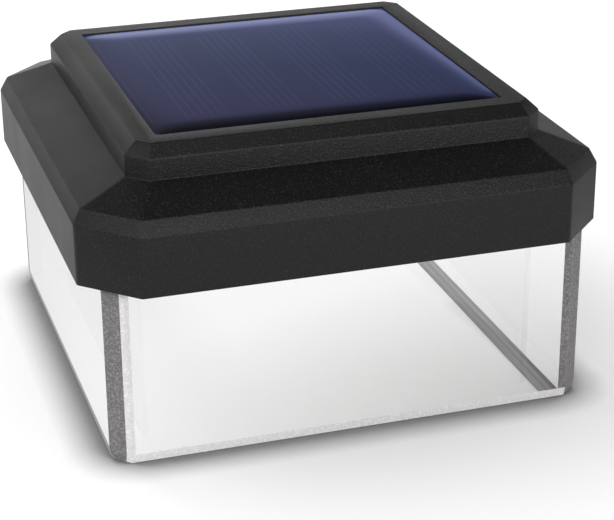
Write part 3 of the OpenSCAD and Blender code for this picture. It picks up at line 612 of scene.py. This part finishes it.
# The skirt, a copy of the CAD node. The photo shows it clear but for ground faces: the two
# front corner facets, a foot band on the front and left panes, a light strip that rounds the
# left facet's front edge, a dark strip beside the right facet, one at the back end of the left
# pane, and one stripe under the right wall. Their tones are painted light and shade: the light
# strip and the front foot band are lit, the dark strips, the left foot band and the stripe are
# shaded, and the facets' dark grey is painted shade. Lengths in mm
skirt = {"edge": 0.2, "footTop": 2.1, "lipBottom": 44.4, "outside": 55.5, "corner": 4.0,
         "lightStrip": (1.2, 1.0), "darkStrip": 1.9, "backStrip": 1.6, "stripe": (46.6, 51.3),
         "leftFoot": 3.0, "skin": 1.0, "footFace": 0.1, "facetFrom": 50, "level": 0.9}


def makeSkirt(c):
    clearPart, shadedPart, litPart, ringPart, footFacePart = range(5)
    bm = cadCopy("clear_skirt")
    far, leg = c["outside"], c["corner"]
    onFacet, onPane = c["lightStrip"]
    # Cuts along X, and one across the left facet, whose points have x - y near -leg
    bend = -far + leg - onFacet * math.sqrt(0.5)
    lightEnd, darkStart = -far + leg + onPane, far - leg - c["darkStrip"]
    backStart = far - leg - c["backStrip"]
    cuts = [(x, (1, 0, 0)) for x in (lightEnd, darkStart, *c["stripe"], bend)]
    cuts += [(backStart, (0, 1, 0)), (c["leftFoot"], (0, 0, 1))]
    for at, direction in cuts:
        bmesh.ops.bisect_plane(bm, geom=bm.verts[:] + bm.edges[:] + bm.faces[:],
                               plane_co=at * mm * Vector(direction), plane_no=direction)
    bm.normal_update()
    for face in bm.faces:
        n, p = face.normal, face.calc_center_median() / mm
        facet = min(abs(n.x), abs(n.y)) > 0.5 and max(abs(p.x), abs(p.y)) > c["facetFrom"]
        below = p.z < c["lipBottom"]
        front = p.y < -far + leg and below
        outer = max(abs(p.x), abs(p.y)) > far - c["skin"]
        frontPane, leftPane = n.y < -c["level"], n.x < -c["level"]
        face.material_index = clearPart
        # Painted light and shade: where a ground face lies decides whether it gets the lit copy or
        # a shaded one
        if p.z < c["footFace"]:
            striped = c["stripe"][0] < p.x < c["stripe"][1]
            face.material_index = ringPart if striped else footFacePart
        elif facet and front:
            face.material_index = litPart if bend < p.x < 0 else shadedPart
        elif outer and p.z < c["footTop"] and frontPane:
            face.material_index = litPart
        elif outer and p.z < c["leftFoot"] and leftPane:
            face.material_index = ringPart
        elif leftPane and p.y > backStart and below:
            face.material_index = shadedPart
        elif outer and front and frontPane and p.x < lightEnd:
            face.material_index = litPart
        elif outer and front and frontPane and p.x > darkStart:
            face.material_index = shadedPart
    piece = place(toMesh(bm, "skirt_moulded"), "skirt_moulded", "housing", "acrylic",
                  "clear_skirt")
    # Every rounded edge gets the lit ground face: painted highlight lines
    softEdges(piece, c["edge"], 20).material = litPart
    paint(piece, clear, groundShaded, groundLit, groundRing, clearFoot)


makeSkirt(skirt)
print("skirt made")

# The resin on the panel, a low pillow with a soft rim. Lengths in mm
panelTop = {"half": 39.65, "middle": 69.28, "fall": 0.42, "rim": 9.0, "power": 2.8,
            "foot": 67.5, "lines": 121, "crowding": 1.6, "squareness": 24}


def makePanelTop(c):
    # Height = middle - fall (1 - d / rim)^power within the rim. The distance to the side is
    # d = half - (|x|^q + |y|^q)^(1/q), with q the squareness. The grid is finer at the sides,
    # and a skin goes down to the board
    s = np.linspace(-1, 1, c["lines"])
    s = np.sign(s) * (1 - (1 - np.abs(s)) ** c["crowding"])
    x, y = np.meshgrid(s * c["half"], s * c["half"], indexing="ij")
    q = c["squareness"]
    d = np.clip(c["half"] - (np.abs(x) ** q + np.abs(y) ** q) ** (1 / q), 0, None)
    z = c["middle"] - c["fall"] * np.clip(1 - d / c["rim"], 0, 1) ** c["power"]
    top = np.stack([x, y, z], -1).reshape(-1, 3)
    n = len(s)
    number = np.arange(n * n).reshape(n, n)
    rim = np.concatenate([number[:-1, 0], number[-1, :-1], number[:0:-1, -1], number[0, :0:-1]])
    low = top[rim].copy()
    low[:, 2] = c["foot"]
    k = np.arange(len(rim))
    k2 = (k + 1) % len(rim)
    side = np.stack([rim[k], rim[k2], n * n + k2, n * n + k], -1)
    points = np.concatenate([top, low]) * mm
    faces = [*gridQuads(n, n).tolist(), *side.tolist(), (n * n + k).tolist()]
    mesh = bpy.data.meshes.new("panel_resin_domed")
    mesh.from_pydata(points.tolist(), [], faces)
    outward(mesh)
    piece = place(mesh, "panel_resin_domed", "housing", "resin", "panel_resin")
    mesh.set_sharp_from_angle(angle=math.radians(50))
    paint(piece, resin)


makePanelTop(panelTop)
print("panel made")

# CAD nodes that keep their shape and get the finish of the real piece
plain = {
    "panel_board": navy, **{"solar_cell_%d" % i: silicon for i in range(1, 5)},
    "cell_ribbons": tin,
}
for nodeName, material in plain.items():
    paint(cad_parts[nodeName], material)

wallSides = ("front", "right", "back", "left")

# Pieces that are the CAD node with softened edges: name, slot, body, width in mm, material
soft = {
    "panel_tape": ("panel_tape_cut", "foam", "housing", 0.12, foam),
    "skirt_gasket": ("skirt_gasket_cut", "foam", "housing", 0.15, foam),
    "base_tray": ("base_tray_moulded", "white_abs", "housing", 0.25, white),
    "battery_door": ("battery_door_moulded", "white_abs", "battery_door", 0.25, white),
    "door_seal": ("door_seal_cut", "foam", "battery_door", 0.1, foam),
    "main_board": ("main_board_cut", "board_green", "housing", 0.08, greenBoard),
    "switch_case": ("switch_case_stamped", "tinned", "housing", 0.15, tin),
    "switch_slider": ("switch_slider_moulded", "black_abs", "switch_slider", 0.12, black),
    **{"light_strip_" + side: ("light_strip_" + side + "_cut", "board_white", "housing", 0.06,
                               whiteStrip) for side in wallSides},
    "cap_screws": ("cap_screws_rolled", "screw_steel", "housing", 0.15, steel),
    "door_screws": ("door_screws_rolled", "screw_steel", "battery_door", 0.1, steel),
    "board_screws": ("board_screws_rolled", "screw_steel", "housing", 0.12, steel),
    **{"leds_" + side: ("led_bodies_" + side, "led", "housing", 0.1, white)
       for side in wallSides},
}
for nodeName, (name, slot, body, width, material) in soft.items():
    paint(softCopy(nodeName, name, body, slot, width), material)
print("softened pieces made")


# Shapes in mm that several inner pieces share
def joined(parts):
    # One list of corners and one of faces from several (corners, faces) pairs
    points, faces, first = [], [], 0
    for corners, corner in parts:
        points.extend(np.asarray(corners, float).reshape(-1, 3).tolist())
        faces.extend([[first + int(i) for i in face] for face in corner])
        first = len(points)
    return points, faces


def sheet(outline, low, high):
    # A flat outline of (y, z) pairs, pushed along X from low to high
    pairs = np.asarray(outline, float)
    ends = np.repeat([[low], [high]], len(pairs), axis=1)
    y, z = (np.broadcast_to(pairs[:, i], ends.shape) for i in (0, 1))
    n = len(pairs)
    k = np.arange(n)
    k2 = (k + 1) % n
    sides = np.stack([k, k2, n + k2, n + k], -1)
    return np.stack([ends, y, z], -1), [*sides.tolist(), k[::-1].tolist(), (n + k).tolist()]


def solidPiece(parts, name, body, slot, replaced, materials, sharp=40):
    points, faces = joined(parts)
    mesh = bpy.data.meshes.new(name)
    mesh.from_pydata((np.array(points) * mm).tolist(), [], faces)
    outward(mesh)
    piece = place(mesh, name, body, slot, *replaced)
    mesh.set_sharp_from_angle(angle=math.radians(sharp))
    paint(piece, *materials)
    return piece


def bands(piece, axis, edges):
    # Material of each face by where its middle lies along an axis, between the edges in mm
    for face in piece.data.polygons:
        at = face.center["xyz".index(axis)] / mm
        face.material_index = sum(at > edge for edge in edges)


def curve(route, steps=10):
    # Straight from each end to the first middle, and between middles p and q about a corner
    # b the arc (1-s)^2 p + 2 s (1-s) b + s^2 q
    r = np.asarray(route, float)
    p, b, q = (r[:-2] + r[1:-1]) / 2, r[1:-1], (r[1:-1] + r[2:]) / 2
    s = (np.arange(1, steps + 1) / steps)[None, :, None]
    arcs = (1 - s) ** 2 * p[:, None] + 2 * s * (1 - s) * b[:, None] + s ** 2 * q[:, None]
    return np.concatenate([r[:1], p[:1], arcs.reshape(-1, 3), r[-1:]])


# The cell in its bay. Radius and place along X in mm, from the flat end to the button
batteryCell = {
    "axis": (0, 18, 50.65), "sleeve": (-22.2, 25.55), "button": 26.45,
    "profile": [(0, -22.6), (4.6, -22.6), (5.1, -22.35), (5.9, -22.35), (6.5, -22.55),
                (6.9, -22.45), (7.15, -22.1), (7.25, -21.6), (7.25, 25.2), (7.18, 25.6),
                (6.95, 25.9), (6.6, 25.95), (6.3, 25.75), (3.6, 25.75), (3.4, 26.1),
                (3.1, 26.4), (2.85, 26.5), (2.75, 26.8), (2.72, 27.4), (2.55, 27.75),
                (2.2, 27.9), (0, 27.9)]}


def makeBattery(c):
    # Bare steel, the green sleeve, the white ring at the plus end, and the button
    parts = [turned(np.array(c["profile"]), 64, c["axis"], "x")]
    piece = solidPiece(parts, "battery_cell", "housing", "battery", ["battery"],
                       [tin, sleeveGreen, white, tin], 50)
    bands(piece, "x", (*c["sleeve"], c["button"]))


# The two contacts. Lengths in mm
contacts = {
    "plateHalf": 5.0, "tagHalf": 2.0, "low": 45.65, "high": 58.1, "tagTop": 61.6,
    "cut": 0.8, "neck": 0.4, "tagCut": 0.6, "middle": 18.0, "t": 0.5, "out": 29.2,
    "axisHeight": 50.65, "bumpTop": 28.0,
    "bump": [(0, 0), (1.2, 0.05), (2.0, 0.2), (2.5, 0.45), (2.75, 0.75), (2.9, 0.9)],
    "wire": 0.4, "wide": 4.4, "tip": 2.4, "turns": 4.0, "springFrom": -28.5,
    "springTo": -23.1, "closedShare": 0.08, "springPoints": 260}


def bladeOutline(c):
    # The plate and its tag as (y, z) pairs, with the corners cut at 45 degrees
    w, t, m = c["plateHalf"], c["tagHalf"], c["middle"]
    low, high, top = c["low"], c["high"], c["tagTop"]
    cut, neck, tagCut = c["cut"], c["neck"], c["tagCut"]
    right = [(w - cut, low), (w, low + cut), (w, high - cut), (w - cut, high),
             (t + neck, high), (t, high + neck), (t, top - tagCut), (t - tagCut, top)]
    return [(m + y, z) for y, z in right] + [(m - y, z) for y, z in right[::-1]]


def makeContacts(c):
    # The bump is a low dome, and the spring a cone of turns closed at both ends:
    # r = wide + (tip - wide) s, with x still over the closed share at each end
    outline = bladeOutline(c)
    dome = np.array(c["bump"]) + (0, c["bumpTop"])
    plate = sheet(outline, c["out"] - c["t"], c["out"])
    bumped = turned(dome, 40, (0, c["middle"], c["axisHeight"]), "x")
    piece = solidPiece([plate, bumped], "contact_plate_pressed", "housing", "tinned",
                       ["contact_plate"], [tin])
    softEdges(piece, 0.08)
    s = np.linspace(0, 1, c["springPoints"])
    angle = 2 * math.pi * c["turns"] * s
    radius = c["wide"] + (c["tip"] - c["wide"]) * s
    along = np.clip((s - c["closedShare"]) / (1 - 2 * c["closedShare"]), 0, 1)
    x = c["springFrom"] + (c["springTo"] - c["springFrom"]) * along
    route = np.stack([x, c["middle"] + radius * np.cos(angle),
                      c["axisHeight"] + radius * np.sin(angle)], -1)
    blade = sheet(outline, -c["out"], -c["out"] + c["t"])
    solidPiece([blade, tube(route, c["wire"])], "contact_spring_wound", "housing", "tinned",
               ["contact_spring"], [steel])


makeBattery(batteryCell)
makeContacts(contacts)
print("battery and contacts made")

# The wires, on the routes of the part's source in mm. Red runs at x > 0 and black at x < 0,
# and on the strips red has the outer pads
wires = {
    "radius": 0.6, "skin": 49.8, "strip": 49.5, "turn": 54,
    "panelPad": (1.5, -1, 66.3), "panelTurn": 62.1, "backPad": (4, -11),
    "tag": (29.2, 18, 60.5), "baySide": (33, 18, 60.5), "bayCorner": (33, 6.65, 58.6),
    "batteryPad": (13, -11), "frontPad": (4, -28), "stripPad": (4, -51), "feedDip": 1.2,
    "cornerPad": 38, "cornerHeight": 52.5, "cornerCut": 5,
    "outerPads": 52.5, "innerPads": 49.5}


def halfway(a, b):
    return tuple((p + q) / 2 for p, q in zip(a, b))


def wireRoutes(c):
    routes = {}
    for colour, side in (("red", 1), ("black", -1)):
        def at(place, height=None):
            # Point on this wire's side, at its own height where none is given
            return side * place[0], place[1], place[2] if height is None else height

        panel, board = at(c["panelPad"], c["panelTurn"]), at(c["backPad"], c["turn"])
        routes["panel_wire_" + colour] = [
            at(c["panelPad"]), panel, halfway(panel, board), board,
            at(c["backPad"], c["skin"])]
        corner, board = at(c["bayCorner"]), at(c["batteryPad"], c["turn"])
        routes["battery_wire_" + colour] = [
            at(c["tag"]), at(c["baySide"]), corner, halfway(corner, board), board,
            at(c["batteryPad"], c["skin"])]
        near, away = at(c["frontPad"], c["turn"]), at(c["stripPad"], c["turn"])
        dip = Vector(halfway(near, away)) - Vector((0, 0, c["feedDip"]))
        routes["feed_wire_" + colour] = [
            at(c["frontPad"], c["skin"]), near, tuple(dip), away,
            at(c["stripPad"], c["strip"])]
        far = c["outerPads"] if side == 1 else c["innerPads"]
        pad, high, cut = c["cornerPad"], c["cornerHeight"], c["cornerCut"]
        arch = np.array([(pad, -far, c["strip"]), (pad, -far, high), (far - cut, -far, high),
                         (far, cut - far, high), (far, -pad, high), (far, -pad, c["strip"])])
        for i in range(3):
            quarter = np.array(Matrix.Rotation(math.pi / 2 * i, 3, "Z"))
            routes["corner_wire_%s_%d" % (colour, i + 1)] = arch @ quarter.T
    return routes


def makeWires(c):
    # Gives back the wire ends that stand on a board, for the solder
    ends = []
    for node, route in wireRoutes(c).items():
        line = curve(route)
        red = "red" in node
        solidPiece([tube(line, c["radius"])], node + "_run", "housing",
                   "wire_red" if red else "wire_black", [node],
                   [redCover if red else blackCover])
        ends.extend(end for end in (line[0], line[-1]) if end[2] <= c["skin"])
    return ends


# A small cone of solder with a hollow flank, where each wire meets a board. Lengths in mm
solder = {"flank": [(1.15, 0.0), (0.95, 0.12), (0.8, 0.35), (0.72, 0.7), (0.62, 0.95)]}


def makeSolder(c, ends):
    parts = [turned(np.array(c["flank"]), 20, end) for end in ends]
    solidPiece(parts, "solder_joints", "housing", "tinned", [], [solderTin], 60)


makeSolder(solder, makeWires(wires))
print("wires made")

# What stands on the main board. Lengths in mm, and profiles as (radius, height) pairs
boardParts = {
    "top": 49.8,
    "chip": (-10, -23), "chipSize": (5.0, 3.9, 0.1, 1.6), "draft": 0.3, "legPitch": 1.27,
    "legHalf": 0.21,
    "leg": [(1.9, 0.85), (2.3, 0.85), (2.5, 0.75), (2.62, 0.3), (2.7, 0.17), (3.0, 0.17),
            (3.0, 0.0), (2.6, 0.0), (2.48, 0.1), (2.34, 0.6), (2.2, 0.67), (1.9, 0.67)],
    "choke": (12, -22), "chokeAxis": 51.9, "leadReach": 6, "leadRadius": 0.3,
    "chokeProfile": [(0.3, -4.3), (0.5, -4.1), (0.9, -3.95), (1.5, -3.8), (1.82, -3.4),
                     (1.9, -2.6), (1.84, -1.2), (1.82, 0), (1.84, 1.2), (1.9, 2.6),
                     (1.82, 3.4), (1.5, 3.8), (0.9, 3.95), (0.5, 4.1), (0.3, 4.3)],
    "can": (-18, -12), "bareRadius": 2.05, "bareFrom": 6,
    "canProfile": [(0, 0), (2.1, 0), (2.4, 0.15), (2.5, 0.45), (2.5, 0.9), (2.3, 1.15),
                   (2.3, 1.35), (2.5, 1.6), (2.5, 6.6), (2.42, 6.85), (2.2, 6.95),
                   (2.0, 6.93), (1.9, 6.8), (0.5, 6.8), (0.35, 6.72), (0, 6.7)]}


def makeChip(c):
    # A block that narrows by the draft to its top and its foot, and eight bent legs
    x, y = c["chip"]
    long, wide, low, high = c["chipSize"]
    top = c["top"]
    ring = np.array([(-1, -1), (1, -1), (1, 1), (-1, 1)]) / 2
    levels = [(low, c["draft"]), ((low + high) / 2, 0.0), (high, c["draft"])]
    points = np.array([[(x + a * (long - cut), y + b * (wide - cut), top + z)
                        for a, b in ring] for z, cut in levels])
    body = (points, [*gridQuads(3, 4, True).tolist(), [3, 2, 1, 0], [8, 9, 10, 11]])
    piece = solidPiece([body], "driver_chip_body", "housing", "chip_black", ["driver_chip"],
                       [chipBlack])
    softEdges(piece, 0.08)
    legs = []
    for side in (-1, 1):
        for i in (-1.5, -0.5, 0.5, 1.5):
            at = x + i * c["legPitch"]
            outline = np.array(c["leg"]) * (side, 1) + (y, top)
            legs.append(sheet(outline, at - c["legHalf"], at + c["legHalf"]))
    solidPiece(legs, "driver_chip_legs", "housing", "tinned", [], [tin])


def makeChoke(c):
    # A dipped body that swells near its ends and thins to its leads
    x, y = c["choke"]
    high, reach = c["chokeAxis"], c["leadReach"]
    lead = curve([(x - reach, y, c["top"]), (x - reach, y, high), (x, y, high),
                  (x + reach, y, high), (x + reach, y, c["top"])])
    lead[:, 2] = np.minimum(lead[:, 2], high)
    dipped = turned(np.array(c["chokeProfile"]), 32, (x, y, high), "x")
    solidPiece([dipped], "choke_dipped", "housing", "choke_green", ["inductor"],
               [chokeGreen])
    solidPiece([tube(lead, c["leadRadius"])], "choke_leads", "housing", "tinned", [], [tin])


def makeCan(c):
    # A sleeved can with a rolled groove near its foot and a bare, stamped top
    x, y = c["can"]
    can = turned(np.array(c["canProfile"]), 40, (x, y, c["top"]))
    piece = solidPiece([can], "capacitor_can", "housing", "can_blue", ["capacitor"],
                       [canBlue, tin], 35)
    for face in piece.data.polygons:
        middle = face.center / mm
        inside = math.hypot(middle.x - x, middle.y - y) < c["bareRadius"]
        face.material_index = int(inside and middle.z > c["top"] + c["bareFrom"])


makeChip(boardParts)
makeChoke(boardParts)
makeCan(boardParts)

# The gel over each LED, a low dome that looks down into the skirt. Lengths in mm, and its
# profile in shares of the radius and the drop
ledGel = {"out": 51.0, "along": 22.0, "bottom": 47.5, "radius": 1.05, "drop": 0.12,
          "profile": [(0.0, -1.0), (0.5, -0.8), (0.8, -0.5), (1.0, 0.0), (1.0, 0.5)]}


def makeGel(c):
    profile = np.array(c["profile"]) * (c["radius"], c["drop"])
    for i, side in enumerate(wallSides):
        quarter = np.array(Matrix.Rotation(math.pi / 2 * i, 3, "Z"))
        parts = [turned(profile, 32, quarter @ (along, -c["out"], c["bottom"]))
                 for along in (-c["along"], c["along"])]
        solidPiece(parts, "led_gel_" + side, "housing", "led", [], [phosphor])


makeGel(ledGel)
print("board parts and LEDs made")

# The studio: a white floor, a sky that is white at the back horizon and dims overhead and to
# both sides, a soft light in it to the front and left, and a weak soft lamp behind. Lengths
# in m. A pair named for an axis is where a change along it starts and ends
studio = {
    "floorSize": 4.0, "floorDrop": 0.00015, "floorColour": "#ffffff",
    "glossNear": 0.62, "glossFar": 0.36, "glossX": (0.11, 0.2),
    "paintedShadowReach": 0.010, "paintedShadow": 0.2, "paintedShadowOpen": (0.5, 1.0),
    # Seen through the skirt: base, slope in x, slope in y, front edge; and its limit
    "glow": (0.3, -4.2, 11.0, 0.045), "glowMost": 0.93,
    "wallGlow": 0.2, "wallX": (-0.045, -0.053),
    "behind": 0.97, "leftGrey": 0.17, "leftX": (-0.012, -0.028), "leftY": (-0.06, 0.1),
    "ambient": 0.92, "horizon": 1.35, "overhead": 0.05, "skyZ": (0.12, 0.6),
    "sides": 0.3, "middle": 0.05, "sideX": (0.1, 0.35),
    "front": 1.5, "patchHeading": (-0.75, -0.65), "patchTurn": (-0.1, 0.8),
    "patchZ": (0.3, 0.5),
    "strip": 2.5, "stripZ": (0.08, 0.2), "stripTopZ": (0.24, 0.38), "stripY": (-0.3, -0.7),
    "lampPlace": (-0.6, 0.45, 0.7), "lampSize": 0.9, "lampWatts": 4.5}


def floorMaterial(c):
    # White, with a painted contact shadow where the floor meets the skirt's foot, and painted
    # shade that makes it greyer in the gloss of the cap. What shows through the skirt is lifted
    # towards white by a painted glow, by place on the floor: fitted to the photo's panes, so it
    # is right from the photo's side only
    material, tree = newMaterial("studio floor")
    path = add(tree, "ShaderNodeLightPath")
    coords = add(tree, "ShaderNodeTexCoord")
    spot = add(tree, "ShaderNodeSeparateXYZ", None, {"Vector": coords.outputs["Object"]})
    x, y = spot.outputs["X"], spot.outputs["Y"]
    # Painted shade: the floor seen in gloss is greyer, the more so away from the middle in x
    grey = remap(tree, calc(tree, "ABSOLUTE", x), *c["glossX"], c["glossNear"], c["glossFar"])
    # Painted contact shadow: ambient occlusion darkens the floor's colour near the skirt
    near = add(tree, "ShaderNodeAmbientOcclusion", {"samples": 12}, {
        "Color": (1, 1, 1, 1), "Distance": c["paintedShadowReach"]})
    paintedShadow = remap(tree, near.outputs["AO"], *c["paintedShadowOpen"], c["paintedShadow"], 1.0)
    behind = calc(tree, "GREATER_THAN", path.outputs["Transparent Depth"], 0.5)
    direct = calc(tree, "MULTIPLY", path.outputs["Is Camera Ray"],
                  calc(tree, "SUBTRACT", 1.0, behind))
    tone = mixNumber(tree, direct, 1.0, paintedShadow)
    tone = mixNumber(tree, path.outputs["Is Glossy Ray"], tone, grey)
    matt = add(tree, "ShaderNodeBsdfDiffuse", None, {"Color": mixColour(
        tree, tone, (0, 0, 0, 1), srgb(c["floorColour"]))})
    # The painted glow is a little greyer behind the left pane, more so towards the back: painted
    # shade
    left = calc(tree, "MULTIPLY", remap(tree, x, *c["leftX"], 0.0, 1.0),
                remap(tree, y, *c["leftY"], 0.0, c["leftGrey"]))
    glow = add(tree, "ShaderNodeEmission", None, {
        "Color": srgb("#ffffff"), "Strength": calc(tree, "SUBTRACT", c["behind"], left)})
    straight = calc(tree, "MULTIPLY", path.outputs["Is Camera Ray"], behind)
    through = calc(tree, "MAXIMUM", straight, path.outputs["Is Transmission Ray"])
    # The lift, base + a x + b (y + front), is least at the front right: painted shade, where the
    # cap's shade falls
    base, a, b, front = c["glow"]
    lift = calc(tree, "MULTIPLY_ADD", y, b,
                calc(tree, "MULTIPLY_ADD", x, a, base + b * front))
    # Under the left wall the lift grows: painted light
    edge = remap(tree, x, *c["wallX"], 0.0, c["wallGlow"])
    lift = remap(tree, calc(tree, "ADD", lift, edge), 0.0, c["glowMost"], 0.0, c["glowMost"])
    both = add(tree, "ShaderNodeMixShader", None, {
        0: calc(tree, "MULTIPLY", through, lift), 1: matt.outputs[0], 2: glow.outputs[0]})
    toOutput(tree, both.outputs[0])
    return material


def skyStrength(tree, c):
    # What gloss sees: horizon to overhead by height, less to the sides, plus a soft patch at
    # the front and left and a low strip at the front that lights the rounded edges. What matt
    # faces see: an even sky. What the camera sees: white
    coords = add(tree, "ShaderNodeTexCoord")
    heading = add(tree, "ShaderNodeSeparateXYZ", None, {"Vector": coords.outputs["Generated"]})
    x, y, z = (heading.outputs[k] for k in ("X", "Y", "Z"))
    rise = remap(tree, z, *c["skyZ"], c["horizon"], c["overhead"])
    off = calc(tree, "ABSOLUTE", calc(tree, "SUBTRACT", x, c["middle"]))
    side = remap(tree, off, *c["sideX"], 1.0, c["sides"])
    towardsX, towardsY = c["patchHeading"]
    turn = calc(tree, "MULTIPLY_ADD", x, towardsX, calc(tree, "MULTIPLY", y, towardsY))
    patch = calc(tree, "MULTIPLY", remap(tree, turn, *c["patchTurn"], 0.0, c["front"]),
                 remap(tree, z, *c["patchZ"], 0.0, 1.0))
    low = calc(tree, "MULTIPLY", remap(tree, z, *c["stripZ"], 0.0, c["strip"]),
               remap(tree, z, *c["stripTopZ"], 1.0, 0.0))
    patch = calc(tree, "MULTIPLY_ADD", low, remap(tree, y, *c["stripY"], 0.0, 1.0), patch)
    gloss = calc(tree, "MULTIPLY_ADD", rise, side, patch)
    path = add(tree, "ShaderNodeLightPath")
    sharp = calc(tree, "MAXIMUM", path.outputs["Is Glossy Ray"],
                 path.outputs["Is Transmission Ray"])
    strength = mixNumber(tree, sharp, c["ambient"], gloss)
    return mixNumber(tree, path.outputs["Is Camera Ray"], strength, 1.0)


def makeStudio(c):
    half = c["floorSize"] / 2
    mesh = bpy.data.meshes.new("floor")
    mesh.from_pydata([(-half, -half, 0), (half, -half, 0), (half, half, 0), (-half, half, 0)],
                     [], [(0, 1, 2, 3)])
    floor = bpy.data.objects.new("floor", mesh)
    scene.collection.objects.link(floor)
    floor.location.z = -c["floorDrop"]
    mesh.materials.append(floorMaterial(c))

    world = bpy.data.worlds.new("studio")
    scene.world = world
    world.use_nodes = True
    tree = world.node_tree
    tree.nodes.clear()
    light = add(tree, "ShaderNodeBackground", None, {
        "Color": srgb("#ffffff"), "Strength": skyStrength(tree, c)})
    add(tree, "ShaderNodeOutputWorld", None, {"Surface": light.outputs[0]})

    data = bpy.data.lights.new("soft lamp", "AREA")
    data.shape = "SQUARE"
    data.size = c["lampSize"]
    data.energy = c["lampWatts"]
    lamp = bpy.data.objects.new("soft lamp", data)
    scene.collection.objects.link(lamp)
    lamp.location = c["lampPlace"]
    lamp.rotation_euler = Vector(c["lampPlace"]).to_track_quat("Z", "Y").to_euler()
    lamp.visible_glossy = False
    scene.view_settings.view_transform = "Standard"


makeStudio(studio)
print("studio made")

bpy.context.view_layer.update()
